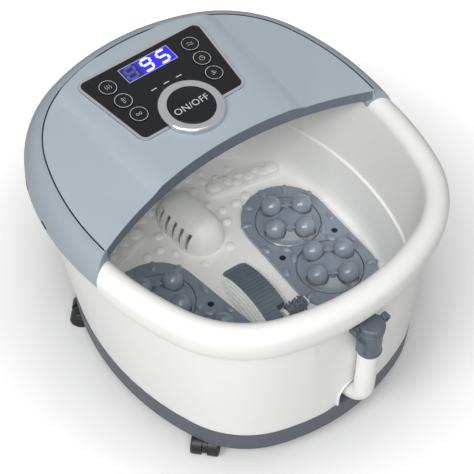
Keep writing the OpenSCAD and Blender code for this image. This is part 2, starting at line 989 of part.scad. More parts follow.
bump_radius = 5;
bump_rise = 2.2;
plate_end = plate_span / 2;
bump_spots = concat(
    [for (a = [20:35:160]) [42 * cos(a), plate_end + 42 * sin(a) - 1]],
    [for (a = [200:35:340]) [42 * cos(a), -plate_end + 42 * sin(a) + 1]],
    [[-42, 18], [-42, -18], [42, 18], [42, -18], [-24, 7], [24, -7], [-24, -7], [24, 7], [0, 0]]);

screw_radius = 1.6;
screw_head = 3.2;

module foot_plate(side) {
    color("slategray")
        at_plate(side)
            difference() {
                union() {
                    translate([0, 0, floor_height])
                        rotate([0, 0, 90])
                            strip(plate_span + plate_width, plate_width, plate_thick);
                    for (p = bump_spots)
                        translate([p[0], p[1], floor_height + plate_thick + bump_rise - bump_radius])
                            sphere(r = bump_radius);
                }
                translate([0, 0, floor_height - 10])
                    cylinder(h = 10, r = reach / 4);
                for (rear = [-1, 1])
                    translate([0, rear * table_span / 2, floor_height - 1])
                        cylinder(h = 20, r = table_diameter / 2 + 1);
                for (x = [-1, 1])
                    translate([x * (plate_width / 2 - screw_inset), 0, floor_height]) {
                        translate([0, 0, -1])
                            cylinder(h = 20, r = screw_radius);
                        translate([0, 0, plate_thick / 2])
                            cylinder(h = 20, r = screw_head + seat_gap);
                    }
            }
}

module plate_screws() {
    color("dimgray")
        at_screws()
            translate([0, 0, floor_height + plate_thick / 2]) {
                cylinder(h = 1.6, r = screw_head);
                translate([0, 0, -plate_thick / 2 - 7])
                    cylinder(h = plate_thick / 2 + 8, r = screw_radius);
            }
}

module spindle_seals() {
    color("dimgray")
        at_tables()
            translate([0, 0, well_z - wall])
                difference() {
                    cylinder(h = wall, r = seal_radius);
                    translate([0, 0, -1])
                        cylinder(h = wall + 2, r = spindle_radius + shaft_gap);
                }
}

saddle_length = 5;
saddle_width = 6;
saddle_top = ball_z + axle_diameter;

module turntable(side, rear) {
    color("slategray")
        at_table(side, rear)
            rotate([0, 0, table_turn])
                difference() {
                    union() {
                        translate([0, 0, disc_z])
                            cylinder(h = disc_thick - 1, d = table_diameter);
                        translate([0, 0, disc_top - 1])
                            cylinder(h = 1, d1 = table_diameter, d2 = table_diameter - 2);
                        translate([0, 0, disc_top - 0.5])
                            cylinder(h = crown_rise + 0.5, r1 = crown_foot, r2 = crown_top);
                        translate([0, 0, hub_z])
                            cylinder(h = disc_z - hub_z + 1, r = hub_radius);
                        for (y = [-1, 1])
                            translate([0, y * ball_span / 2, disc_top - 1])
                                translate([-saddle_length / 2, -saddle_width / 2, 0])
                                    cube([saddle_length, saddle_width, saddle_top - disc_top + 1]);
                    }
                    for (x = [-1, 1])
                        for (y = [-1, 1])
                            translate([x * ball_span / 2, y * ball_span / 2, hub_z])
                                cylinder(h = 30, r = ball_radius + move_gap);
                    for (y = [-1, 1])
                        translate([0, y * ball_span / 2, ball_z])
                            pipe_x(axle_diameter / 2 + shaft_gap, -10, 10);
                    translate([0, 0, hub_z - 1])
                        cylinder(h = spindle_top - hub_z + 1, r = spindle_radius);
                }
}

// Two balls and the pin between them are turned as one piece
ball_steps = 20;
pin_angle = acos(axle_diameter / ball_diameter);

module rollers(side, rear, y) {
    color("slategray")
        at_table(side, rear)
            rotate([0, 0, table_turn])
                translate([0, y * ball_span / 2, ball_z])
                    rotate([0, 90, 0])
                        rotate_extrude()
                            polygon(concat(arc(0, ball_span / 2, ball_radius, 90, -pin_angle, ball_steps),
                                arc(0, -ball_span / 2, ball_radius, pin_angle, -90, ball_steps)));
}

// Spindle gears: straight-sided teeth with room to run
gear_module = table_span / gear_teeth;
tooth_backlash = 0.25;
tooth_angle = 20;

module gear_area() {
    pitch_r = table_span / 2;
    tip = 0.9 * gear_module;
    root = 1.2 * gear_module;
    half = 90 / gear_teeth;
    play = tooth_backlash * gear_module / 2;
    function spread(r) = half - (play + (r - pitch_r) * tan(tooth_angle)) / pitch_r * 180 / PI;
    function spot(r, a) = [r * cos(a), r * sin(a)];
    polygon([for (k = [0 : gear_teeth - 1])
        let(a = k * 360 / gear_teeth)
        each [spot(pitch_r - root, a - spread(pitch_r - root)),
            spot(pitch_r + tip, a - spread(pitch_r + tip)),
            spot(pitch_r + tip, a + spread(pitch_r + tip)),
            spot(pitch_r - root, a + spread(pitch_r - root))]]);
}

module gear(side, rear) {
    color("ivory")
        at_table(side, rear) {
            translate([0, 0, spindle_z])
                cylinder(h = spindle_top - spindle_z, r = spindle_radius);
            translate([0, 0, gear_z])
                linear_extrude(gear_thick)
                    rotate([0, 0, rear > 0 ? -90 : 90 + 180 / gear_teeth])
                        gear_area();
        }
}

module gear_motor(side) {
    color("gray")
        at_table(side, 1)
            difference() {
                union() {
                    translate([0, 0, pan_z])
                        cylinder(h = motor_top - pan_z, r = motor_radius);
                    rotate([0, 0, 90])
                        translate([0, 0, pan_z])
                            strip(2 * motor_radius + 24, 12, 3);
                }
                translate([0, 0, spindle_z])
                    cylinder(h = 40, r = spindle_radius + shaft_gap);
            }
}

// Floor fittings

module at_dome() {
    translate([0, dome_y, floor_height])
        children();
}

function dome_curve(r) =
    concat(arc(0, dome_length / 2, r, 90, 0, 9), arc(0, -dome_length / 2, r, 0, -90, 9));

function dome_plan(r) =
    let(half = dome_curve(r))
    concat(half, [for (i = [len(half) - 2 : -1 : 1]) [-half[i][0], half[i][1]]]);

// Half of a capsule that lies along Y, on an upright wall that starts a drop below the floor
module dome_body(r, drop) {
    translate([0, 0, dome_foot])
        rotate([-90, 0, 0])
            rotate([0, 0, 180])
                rotate_extrude(angle = 180)
                    polygon(dome_curve(r));
    translate([0, 0, -drop])
        linear_extrude(dome_foot + drop)
            polygon(dome_plan(r));
}

dome_skin = 2.5;
slot_foot = 3;
slot_rise = 21;

module intake_dome() {
    pitch = (dome_length + 0.88 * dome_radius) / dome_slots;
    color("white")
        at_dome()
            difference() {
                dome_body(dome_radius, 0);
                dome_body(dome_radius - dome_skin, 1);
                for (side = [-1, 1])
                    for (k = [0 : dome_slots - 1])
                        translate([side * 0.8 * dome_radius, (k + 0.5 - dome_slots / 2) * pitch, slot_foot])
                            translate([-9, -slot_width / 2, 0])
                                cube([18, slot_width, slot_rise]);
            }
}

bridge_radius = (bridge_length * bridge_length / 4 + bridge_rise * bridge_rise) / (2 * bridge_rise);
bridge_x = -3;
brush_depth = 5;
brush_top = bridge_radius + 0.8;
brush_half = brush_width / 2;
brush_corner = 7;

module at_bridge() {
    translate([bridge_x, bridge_y, floor_height + bridge_rise - bridge_radius])
        rotate([0, 0, -bridge_turn])
            children();
}

// Keeps what stands above the tub floor
module above_floor() {
    intersection() {
        children();
        translate([-reach / 2, -reach / 2, floor_height])
            cube([reach, reach, reach]);
    }
}

// Crown and flanks of the bridge, turned about the axis of its arch
module bridge_body() {
    foot = bridge_radius - bridge_rise - 2;
    shoulder_r = bridge_radius - 5.5;
    rotate([0, 90, 0])
        rotate_extrude($fn = 180)
            polygon([[0, -brush_half - left_flank], [foot, -brush_half - left_flank],
                [shoulder_r, -brush_half - left_flank / 2], [bridge_radius, -brush_half],
                [bridge_radius, brush_half], [foot, brush_half + right_flank],
                [0, brush_half + right_flank]]);
}

// Plan of the brush strip, round at its back corners
module brush_plan() {
    back = bridge_length / 2 + 1;
    linear_extrude(reach) {
        translate([-brush_half, -bridge_length / 2])
            square([brush_width, bridge_length / 2 + back - brush_corner]);
        translate([brush_corner - brush_half, 0])
            square([brush_width - 2 * brush_corner, back]);
        for (x = [-1, 1])
            translate([x * (brush_half - brush_corner), back - brush_corner])
                circle(r = brush_corner);
    }
}

// The curved strip of the brush, up to a radius
module brush_strip(radius) {
    intersection() {
        brush_plan();
        difference() {
            pipe_x(radius, -brush_width, brush_width);
            pipe_x(bridge_radius - brush_depth, -brush_width - 1, brush_width + 1);
        }
    }
}

module pedicure_bridge() {
    post = 3;
    pin_half = spur_length / 2 + move_gap;
    color("white") {
        difference() {
            above_floor()
                at_bridge()
                    difference() {
                        bridge_body();
                        brush_strip(brush_top);
                    }
            spur_room();
        }
        at_spur()
            pipe_x(spur_pin, -pin_half - post, pin_half + 1);
        for (x = [-1, 1])
            translate([spur_x + x * (pin_half + post / 2) - post / 2, spur_y - 4, floor_height])
                cube([post, 8, spur_z - floor_height + spur_pin]);
        translate([spur_x - pin_half - post, spur_y, floor_height])
            cube([post, 10, 1]);
    }
}

// Room round the spiked roller
module spur_room() {
    at_spur()
        pipe_x(spur_diameter / 2 + 4, -spur_length / 2 - spur_side, spur_length);
}

module pedicure_brush() {
    span = 1.7 * asin((bridge_length / 2) / bridge_radius);
    rib = 2.2;
    rib_depth = 0.7;
    color("dimgray")
        difference() {
            above_floor()
                at_bridge()
                    difference() {
                        brush_strip(brush_top);
                        for (k = [0 : brush_ribs - 1])
                            rotate([-span / 2 + span * (k + 0.5) / brush_ribs, 0, 0])
                                translate([-brush_width, -rib / 2, brush_top - rib_depth])
                                    cube([2 * brush_width, rib, 10]);
                    }
            spur_room();
        }
}

spur_x = 13.5;
spur_y = bridge_y - bridge_length / 2 + 6;
spur_z = floor_height + spur_diameter / 2 + 1;
spur_side = 4;
spur_core = spur_diameter / 2 - 2.5;
spur_pin = 2;

module at_spur() {
    translate([spur_x, spur_y, spur_z])
        children();
}

module spur_roller() {
    color("dimgray")
        at_spur()
            difference() {
                union() {
                    pipe_x(spur_core, -spur_length / 2, spur_length / 2);
                    for (k = [-1.5:1.5])
                        for (a = [0:45:315])
                            rotate([a + 22.5 * (k + 1.5), 0, 0])
                                translate([k * spur_length / 4, 0, spur_core - 1])
                                    cylinder(h = spur_diameter / 2 - spur_core + 1, r1 = 1.8, r2 = 0.9);
                }
                pipe_x(spur_pin + shaft_gap, -spur_length, spur_length);
            }
}

heater_radius = 4;
heater_half = 11;

module heater_posts() {
    for (x = [-1, 1])
        translate([x * heater_half, dome_y + dome_length / 2, 0])
            children();
}

module heater() {
    leg = dome_length;
    z = floor_height + 10;
    color("silver") {
        heater_posts() {
            translate([0, 0, under_floor - 8])
                cylinder(h = z - under_floor + 8, r = heater_radius);
            translate([0, 0, z]) {
                sphere(r = heater_radius);
                pipe_y(heater_radius, -leg, 0);
            }
        }
        translate([0, dome_y - dome_length / 2, z])
            rotate([0, 0, 180])
                rotate_extrude(angle = 180)
                    translate([heater_half, 0])
                        circle(r = heater_radius);
    }
}

pump_x = 62;
pump_y = 96;

module air_pump() {
    color("darkgray") {
        translate([pump_x - 24, pump_y - 18, pan_z])
            cube([48, 36, 26]);
        translate([pump_x, pump_y, pan_z + 25])
            cylinder(h = under_floor - pan_z - 25, r = 3.5);
    }
}

board_x = -52;
board_y = 92;
board_stand = 6;

module at_board() {
    for (x = [-1, 1])
        for (y = [-1, 1])
            translate([board_x + x * 28, board_y + y * 16, 0])
                children();
}

module main_board() {
    color("darkgreen")
        translate([board_x, board_y, pan_z + board_stand]) {
            translate([-34, -22, 0])
                cube([68, 44, board_thick]);
            translate([-26, -14, board_thick - 0.5])
                cube([26, 24, 18]);
            for (x = [8, 20])
                translate([x, 4, board_thick - 0.5])
                    cylinder(h = 15, r = 5);
        }
}

gland_x = 0;
gland_y = 122;
gland_radius = 7;
gland_flange = 3;
gland_bore = 3.5;

module cord_gland() {
    color("black")
        translate([gland_x, gland_y, 0])
            difference() {
                union() {
                    translate([0, 0, ground_clearance + seat_depth - gland_flange])
                        cylinder(h = gland_flange, r = gland_radius + gland_flange);
                    translate([0, 0, ground_clearance])
                        cylinder(h = wall + 7, r = gland_radius);
                }
                translate([0, 0, ground_clearance - 5])
                    cylinder(h = 30, r = gland_bore);
            }
}

// Drain

module drain_spigot() {
    inner_end = drain_hole_y + 1.5;
    color("white")
        difference() {
            union() {
                translate([0, 0, outlet_height])
                    pipe_y(pipe_radius, outlet_back, inner_end);
                translate([0, drain_hole_y, outlet_height - sump_radius])
                    cylinder(h = under_floor - outlet_height + sump_radius, r = sump_radius);
            }
            translate([0, 0, outlet_height])
                pipe_y(pipe_bore, outlet_back - 1, inner_end);
            translate([0, drain_hole_y, outlet_height - sump_bore])
                cylinder(h = 40, r = sump_bore);
        }
}

// Quarter turn of the elbow
module elbow_turn(r) {
    translate([0, outlet_y, outlet_height + elbow_bend])
        rotate([0, 90, 0])
            rotate([0, 0, -90])
                rotate_extrude(angle = 90)
                    translate([elbow_bend, 0])
                        circle(r = r);
}

module drain_elbow() {
    r = elbow_diameter / 2;
    color("white")
        difference() {
            union() {
                translate([0, 0, outlet_height]) {
                    pipe_y(pipe_bore - shaft_gap, outlet_back - 1, outlet_back + 14);
                    pipe_y(r, outlet_y, outlet_back - seat_gap);
                }
                elbow_turn(r);
                translate([0, drain_y, outlet_height + elbow_bend])
                    cylinder(h = collar_height - outlet_height - elbow_bend, r = r);
                translate([0, drain_y, collar_height - 1])
                    cylinder(h = 12, r = r - 2);
            }
            translate([0, drain_y, outlet_height + elbow_bend])
                cylinder(h = reach, r = elbow_bore);
            elbow_turn(elbow_bore);
            translate([0, 0, outlet_height])
                pipe_y(elbow_bore, outlet_y, 0);
        }
}

module drain_collar() {
    color("slategray")
        translate([0, drain_y, 0])
            difference() {
                union() {
                    translate([0, 0, collar_height])
                        cylinder(h = collar_length, d = collar_diameter);
                    translate([-collar_diameter / 2 - 2.5, -5, collar_height + 6])
                        cube([collar_diameter / 2, 10, 16]);
                }
                translate([0, 0, collar_height - 1])
                    cylinder(h = 12, r = elbow_diameter / 2 - 2);
                translate([0, 0, collar_height])
                    cylinder(h = collar_length + 1, r = elbow_diameter / 2 - 3);
            }
}

module drain_cap() {
    r = elbow_diameter / 2 - 3;
    color("slategray")
        translate([0, drain_y, collar_top]) {
            rotate_extrude()
                polygon(concat([[0, 0], [cap_radius, 0]],
                    arc(cap_radius - 2.5, cap_length - 2.5, 2.5, 0, 90, 5), [[0, cap_length]]));
            translate([0, 0, -10])
                cylinder(h = 11, r = r - shaft_gap);
            translate([cap_radius + 3, 0, cap_length / 2 - 1])
                rotate([90, 0, 0])
                    difference() {
                        translate([0, 0, -3])
                            cylinder(h = 6, r = 4.5);
                        translate([0, 0, -4])
                            cylinder(h = 8, r = 2.4);
                        translate([-cap_radius - 9, -10, -10])
                            cube([cap_radius + 5.5, 20, 20]);
                    }
            translate([cap_radius - 3, -3, 0])
                cube([4, 6, cap_length - 3]);
        }
}

clip_z = collar_height + collar_length - 9;

module drain_clip() {
    color("dimgray")
        translate([0, 0, clip_z]) {
            translate([-cap_radius - 3.5, -drain_face - 0.6, 0])
                cube([2 * cap_radius, 0.6, 8]);
            translate([-cap_radius - 3.5, drain_y + 4, 0])
                cube([3, -drain_face - drain_y - 4, 8]);
        }
}

// Casters

module at_caster(side, rear) {
    translate([side * caster_x, rear > 0 ? caster_back : -caster_front, 0])
        rotate([0, 0, side * rear * caster_turn + (side > 0 ? 0 : 180)])
            children();
}

hood_radius = wheel_radius + 1.2;

module caster(side, rear) {
    color("black")
        at_caster(side, rear) {
            cylinder_top = ground_clearance + seat_depth;
            translate([0, 0, cylinder_top - 1.5])
                cylinder(h = 1.5 + stem_length - seat_depth, r = stem_radius);
            difference() {
                union() {
                    translate([0, 0, wheel_radius])
                        cylinder(h = cylinder_top - seat_gap - wheel_radius, r = fork_radius);
                    translate([caster_trail, -web_thick / 2, wheel_radius])
                        rotate([-90, 0, 0])
                            cylinder(h = web_thick, r = wheel_radius - 2);
                    translate([0, -web_thick / 2, wheel_radius])
                        cube([caster_trail, web_thick, wheel_radius]);
                }
                translate([caster_trail, 0, wheel_radius])
                    pipe_y(2 + shaft_gap, -20, 20);
                for (y = [-1, 1])
                    translate([caster_trail, y > 0 ? web_thick / 2 : -web_thick / 2 - 20, wheel_radius])
                        pipe_y(hood_radius, 0, 20);
            }
        }
}

module wheels(side, rear) {
    color("black")
        at_caster(side, rear)
            translate([caster_trail, 0, wheel_radius]) {
                pipe_y(2, -wheel_gap / 2 - 1, wheel_gap / 2 + 1);
                for (y = [-1, 1])
                    rotate([y * 90, 0, 0])
                        translate([0, 0, wheel_gap / 2])
                            rotate_extrude()
                                polygon(concat([[0, 0], [wheel_radius, 0]],
                                    arc(wheel_radius - 2, wheel_width - 2, 2, 0, 80, 4),
                                    [[0, wheel_width - 1.5]]));
            }
}

inner_tub();
outer_shell();
base_pan();
cover_border();
cover_panel();
panel_frame();
control_panel();
display_window();
control_board();
power_bezel();
power_button();
small_button(1);  // button_1
small_button(2);  // button_2
small_button(3);  // button_3
small_button(4);  // button_4
small_button(5);  // button_5
small_button(6);  // button_6
foot_plate(-1);  // foot_plate_left
foot_plate(1);  // foot_plate_right
plate_screws();
spindle_seals();
turntable(-1, 1);  // turntable_rl
turntable(1, 1);  // turntable_rr
turntable(-1, -1);  // turntable_fl
turntable(1, -1);  // turntable_fr
gear(-1, 1);  // gear_rl
gear(1, 1);  // gear_rr
gear(-1, -1);  // gear_fl
gear(1, -1);  // gear_fr
rollers(-1, 1, 1);  // rollers_rl_a
rollers(-1, 1, -1);  // rollers_rl_b
rollers(1, 1, 1);  // rollers_rr_a
rollers(1, 1, -1);  // rollers_rr_b
rollers(-1, -1, 1);  // rollers_fl_a
rollers(-1, -1, -1);  // rollers_fl_b
rollers(1, -1, 1);  // rollers_fr_a
rollers(1, -1, -1);  // rollers_fr_b
gear_motor(-1);  // gear_motor_left
gear_motor(1);  // gear_motor_right
intake_dome();
pedicure_bridge();
pedicure_brush();
spur_roller();
heater();
air_pump();
main_board();
cord_gland();
drain_spigot();
drain_elbow();
drain_collar();
drain_cap();
drain_clip();
caster(-1, -1);  // caster_fl
caster(1, -1);  // caster_fr
caster(-1, 1);  // caster_rl
caster(1, 1);  // caster_rr
wheels(-1, -1);  // wheels_fl
wheels(1, -1);  // wheels_fr
wheels(-1, 1);  // wheels_rl
wheels(1, 1);  // wheels_rr
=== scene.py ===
"""Looks of a wheeled foot spa basin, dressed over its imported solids."""

import json
import logging
import math
from dataclasses import dataclass, field
from enum import Enum
from typing import Iterable, Sequence

import bmesh
import bpy
from mathutils import Euler, Matrix, Vector


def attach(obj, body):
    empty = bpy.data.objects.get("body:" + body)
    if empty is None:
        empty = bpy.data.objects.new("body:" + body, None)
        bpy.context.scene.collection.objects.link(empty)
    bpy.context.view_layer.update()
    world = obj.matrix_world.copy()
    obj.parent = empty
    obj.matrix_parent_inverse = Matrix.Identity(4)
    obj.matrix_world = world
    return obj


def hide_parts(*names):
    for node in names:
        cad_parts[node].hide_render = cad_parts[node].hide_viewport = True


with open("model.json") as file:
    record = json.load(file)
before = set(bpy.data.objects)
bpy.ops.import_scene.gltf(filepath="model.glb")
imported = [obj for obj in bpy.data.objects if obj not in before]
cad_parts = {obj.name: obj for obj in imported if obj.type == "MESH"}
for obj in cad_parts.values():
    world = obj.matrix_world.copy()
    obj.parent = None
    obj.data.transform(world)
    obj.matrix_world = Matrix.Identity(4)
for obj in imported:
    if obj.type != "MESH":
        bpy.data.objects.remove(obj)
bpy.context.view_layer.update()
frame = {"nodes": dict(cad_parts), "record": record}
MM = 0.001
LOG = logging.getLogger("foot_spa")

Point2 = tuple[float, float]
Point3 = tuple[float, float, float]
Colour = tuple[float, float, float]
Arc = tuple[float, float, float, float, float]
Shape = tuple[list[Point3], list[list[int]]]


def linear(colour: Colour) -> tuple[float, float, float, float]:
    """Turns a display colour into the linear one that a shader takes.

    Args:
        colour: Red, green and blue as seen on a display, from 0 to 255.

    Returns:
        The linear colour with full alpha.
    """
    out = []
    for value in colour:
        v = value / 255.0
        out.append(v / 12.92 if v <= 0.04045 else ((v + 0.055) / 1.055) ** 2.4)
    return (out[0], out[1], out[2], 1.0)


class Nodes:
    """A node tree with short ways to add and join nodes."""

    def __init__(self, tree: bpy.types.NodeTree) -> None:
        """Empties the tree.

        Args:
            tree: Tree of a material, a world or Geometry Nodes.
        """
        self.tree = tree
        tree.nodes.clear()

    def add(self, kind: str, **inputs: object) -> bpy.types.Node:
        """Adds a node and sets its inputs by name, with _ for a space.

        Args:
            kind: Node type.
            **inputs: Values of its input sockets.

        Returns:
            The new node.
        """
        node = self.tree.nodes.new(kind)
        for name, value in inputs.items():
            node.inputs[name.replace("_", " ")].default_value = value
        return node

    def join(self, start: bpy.types.NodeSocket, end: bpy.types.NodeSocket) -> None:
        """Links an output socket to an input socket."""
        self.tree.links.new(start, end)


@dataclass(frozen=True)
class Finish:
    """A moulded finish: a colour with faint clouds, and a grain in gloss and relief."""

    name: str
    colour: Colour
    roughness: float = 0.35
    spread: float = 0.06
    clouds: float = 0.03
    cloud_scale: float = 22.0
    grain_scale: float = 900.0
    relief: float = 0.05
    specular: float = 0.5
    metallic: float = 0.0
    coat: float = 0.0
    stretch: Point3 = (1.0, 1.0, 1.0)

    def material(self) -> bpy.types.Material:
        """Makes the material, or finds it if it was made before.

        Returns:
            The material with its nodes.
        """
        known = bpy.data.materials.get(self.name)
        if known is not None:
            return known
        made = bpy.data.materials.new(self.name)
        made.use_nodes = True
        tree = Nodes(made.node_tree)
        shader = tree.add("ShaderNodeBsdfPrincipled")
        shader.inputs["Metallic"].default_value = self.metallic
        shader.inputs["Specular IOR Level"].default_value = self.specular
        shader.inputs["Coat Weight"].default_value = self.coat
        shader.inputs["Coat Roughness"].default_value = 0.08
        output = tree.add("ShaderNodeOutputMaterial")
        tree.join(shader.outputs["BSDF"], output.inputs["Surface"])
        place = tree.add("ShaderNodeTexCoord")
        mapping = tree.add("ShaderNodeMapping")
        mapping.inputs["Scale"].default_value = self.stretch
        tree.join(place.outputs["Object"], mapping.inputs["Vector"])
        spot = mapping.outputs["Vector"]
        self.paint(tree, shader, spot)
        grain = tree.add("ShaderNodeTexNoise", Scale=self.grain_scale, Detail=3.0)
        tree.join(spot, grain.inputs["Vector"])
        gloss = tree.add("ShaderNodeMapRange")
        gloss.inputs["To Min"].default_value = max(0.02, self.roughness - self.spread)
        gloss.inputs["To Max"].default_value = min(1.0, self.roughness + self.spread)
        tree.join(grain.outputs["Fac"], gloss.inputs["Value"])
        tree.join(gloss.outputs["Result"], shader.inputs["Roughness"])
        bump = tree.add("ShaderNodeBump", Strength=self.relief, Distance=0.0004)
        tree.join(grain.outputs["Fac"], bump.inputs["Height"])
        tree.join(bump.outputs["Normal"], shader.inputs["Normal"])
        return made

    def paint(
        self,
        tree: Nodes,
        shader: bpy.types.Node,
        spot: bpy.types.NodeSocket,
    ) -> None:
        """Paints the colour with its faint clouds.

        Args:
            tree: Tree of the material.
            shader: Surface shader.
            spot: Coordinates on the piece.
        """
        cloud = tree.add("ShaderNodeTexNoise", Scale=self.cloud_scale, Detail=4.0)
        tree.join(spot, cloud.inputs["Vector"])
        ramp = tree.add("ShaderNodeValToRGB")
        base = linear(self.colour)
        low, high = ramp.color_ramp.elements
        low.position, high.position = 0.3, 0.7
        low.color = tuple(c * (1.0 - self.clouds) for c in base[:3]) + (1.0,)
        high.color = tuple(min(1.0, c * (1.0 + self.clouds)) for c in base[:3]) + (1.0,)
        tree.join(cloud.outputs["Fac"], ramp.inputs["Fac"])
        tree.join(ramp.outputs["Color"], shader.inputs["Base Color"])


@dataclass(frozen=True)
class Glow(Finish):
    """A lit print or display whose left cell stays dim."""

    glow: float = 1.0
    dim: Colour = (0.0, 0.0, 0.0)
    split_x: float = -1.0

    def paint(
        self,
        tree: Nodes,
        shader: bpy.types.Node,
        spot: bpy.types.NodeSocket,
    ) -> None:
        """Paints the lit cells and the dim one, with a slight unevenness.

        Args:
            tree: Tree of the material.
            shader: Surface shader.
            spot: Coordinates on the piece.
        """
        axes = tree.add("ShaderNodeSeparateXYZ")
        tree.join(spot, axes.inputs["Vector"])
        step = tree.add("ShaderNodeMapRange")
        step.inputs["From Min"].default_value = self.split_x - 0.0004
        step.inputs["From Max"].default_value = self.split_x + 0.0004
        tree.join(axes.outputs["X"], step.inputs["Value"])
        cells = tree.add("ShaderNodeMix")
        cells.data_type = "RGBA"
        cells.inputs[6].default_value = linear(self.dim)
        cells.inputs[7].default_value = linear(self.colour)
        tree.join(step.outputs["Result"], cells.inputs["Factor"])
        cloud = tree.add("ShaderNodeTexNoise", Scale=self.cloud_scale, Detail=2.0)
        tree.join(spot, cloud.inputs["Vector"])
        level = tree.add("ShaderNodeMapRange")
        level.inputs["To Min"].default_value = 1.0 - self.clouds
        level.inputs["To Max"].default_value = 1.0
        tree.join(cloud.outputs["Fac"], level.inputs["Value"])
        lit = tree.add("ShaderNodeVectorMath")
        lit.operation = "SCALE"
        tree.join(cells.outputs[2], lit.inputs[0])
        tree.join(level.outputs["Result"], lit.inputs["Scale"])
        tree.join(lit.outputs["Vector"], shader.inputs["Emission Color"])
        shader.inputs["Emission Strength"].default_value = self.glow
        shader.inputs["Base Color"].default_value = (0.01, 0.01, 0.012, 1.0)


class Slot(Enum):
    """Material slots of the part, each with the finish that it wears."""

    WHITE = (
        "white_gloss",
        Finish(
            "body_white", (246, 246, 243),
            roughness=0.38, spread=0.03, clouds=0.004, cloud_scale=14.0, grain_scale=2600.0,
            relief=0.006, specular=0.3,
        ),
    )
    COVER = (
        "cover_grey",
        Finish(
            "cover_blue_grey", (177, 187, 195),
            roughness=0.4, spread=0.04, clouds=0.008, cloud_scale=16.0, grain_scale=2200.0,
            relief=0.012,
        ),
    )
    BAND = (
        "band_grey",
        Finish(
            "band_slate", (88, 93, 103),
            roughness=0.46, spread=0.05, clouds=0.02, grain_scale=2000.0, relief=0.03,
        ),
    )
    FITTING = (
        "fitting_grey",
        Finish(
            "fitting_slate", (140, 149, 162),
            roughness=0.16, spread=0.03, clouds=0.02, grain_scale=2000.0, relief=0.008, coat=0.5,
        ),
    )
    BRUSH = (
        "brush_grey",
        Finish(
            "brush_slate", (104, 114, 125),
            roughness=0.42, spread=0.08, clouds=0.06, grain_scale=1500.0, relief=0.08,
        ),
    )
    PANEL = (
        "panel_black",
        Finish(
            "panel_gloss_black", (20, 21, 25),
            roughness=0.22, spread=0.04, clouds=0.1, grain_scale=2000.0, relief=0.01,
            specular=0.35,
        ),
    )
    DISPLAY = (
        "display_blue",
        Glow(
            "display_lit_blue", (38, 30, 240),
            roughness=0.2, spread=0.03, clouds=0.12, cloud_scale=90.0, dim=(22, 24, 96),
            split_x=-0.0105, glow=1.0,
        ),
    )
    CHROME = (
        "chrome_trim",
        Finish(
            "trim_chrome", (212, 214, 218),
            roughness=0.16, spread=0.05, clouds=0.03, relief=0.01, metallic=1.0,
            stretch=(1.0, 1.0, 4.0),
        ),
    )
    BOARD = (
        "board_green",
        Finish(
            "board_lacquer", (24, 84, 48),
            roughness=0.45, spread=0.08, clouds=0.12, cloud_scale=140.0,
        ),
    )
    GEAR = (
        "gear_ivory",
        Finish(
            "gear_ivory_resin", (226, 218, 190),
            roughness=0.42, spread=0.06, clouds=0.04,
        ),
    )
    MOTOR = (
        "motor_grey",
        Finish(
            "motor_can_grey", (128, 131, 136),
            roughness=0.4, spread=0.08, clouds=0.05, metallic=0.4,
        ),
    )
    HEATER = (
        "heater_steel",
        Finish(
            "heater_brushed_steel", (178, 178, 178),
            roughness=0.3, spread=0.1, clouds=0.05, metallic=1.0, stretch=(1.0, 0.1, 1.0),
        ),
    )
    RUBBER = (
        "seal_rubber",
        Finish(
            "seal_black_rubber", (34, 35, 38),
            roughness=0.7, spread=0.1, clouds=0.1, relief=0.15,
        ),
    )
    SCREW = (
        "screw_steel",
        Finish(
            "screw_dark_steel", (62, 66, 74),
            roughness=0.35, spread=0.1, clouds=0.08, metallic=0.8,
        ),
    )
    CASTER = (
        "caster_black",
        Finish(
            "caster_black_resin", (30, 31, 34),
            roughness=0.42, spread=0.08, clouds=0.1, relief=0.1,
        ),
    )

    @property
    def label(self) -> str:
        """Name of the slot in the record."""
        return self.value[0]

    @property
    def finish(self) -> Finish:
        """Finish that the slot wears."""
        return self.value[1]


# A darker copy of body white for the outer shell and the drain elbow: painted shade that holds their
# brightly lit outsides down.
SHELL_WHITE_SHADED = Finish(
    "shell_white_shaded", (242, 242, 239),
    roughness=0.34, spread=0.03, clouds=0.004, cloud_scale=14.0, grain_scale=2600.0, relief=0.006,
)
# A darker copy of the cover grey for the cover's border: painted shade of its side faces.
BORDER_GREY_SHADED = Finish(
    "border_shaded_blue_grey", (160, 170, 179),
    roughness=0.4, spread=0.04, clouds=0.008, cloud_scale=16.0, grain_scale=2200.0, relief=0.012,
)
DRAIN_SLATE = Finish(
    "drain_slate", (94, 101, 112),
    roughness=0.3, spread=0.05, clouds=0.02, grain_scale=2000.0, relief=0.02,
)
# Dark seal in the cover's seam, partly painted shade of the groove.
SEAM_DARK = Finish(
    "seam_shadow_seal", (30, 35, 45),
    roughness=0.6, spread=0.08, clouds=0.1, relief=0.1,
)
# Darker copy of the cover grey for the arched front face: painted shade.
LIP_SHADE = Finish(
    "lip_painted_shade", (112, 121, 134),
    roughness=0.42, spread=0.06, clouds=0.04, relief=0.06,
)
PRINT_PALE = Finish(
    "print_pale_grey", (206, 209, 214),
    roughness=0.5, spread=0.05, clouds=0.03, relief=0.03,
)
DIGIT_WHITE = Glow(
    "digit_lit_white", (250, 250, 255),
    roughness=0.3, spread=0.03, clouds=0.04, cloud_scale=90.0, dim=(250, 250, 255), glow=1.0,
)
DIGIT_DIM = Glow(
    "digit_dim_blue", (78, 82, 186),
    roughness=0.3, spread=0.03, clouds=0.1, cloud_scale=90.0, dim=(78, 82, 186), glow=1.0,
)
RIM_LAVENDER = Glow(
    "display_rim_pale", (176, 178, 226),
    roughness=0.3, spread=0.03, clouds=0.1, cloud_scale=90.0, dim=(176, 178, 226), glow=0.9,
)
# Near-black for slots and recesses: painted shade of their hollows.
RECESS_SHADE = Finish(
    "recess_painted_shade", (22, 23, 27),
    roughness=0.6, spread=0.08, clouds=0.1, relief=0.1,
)


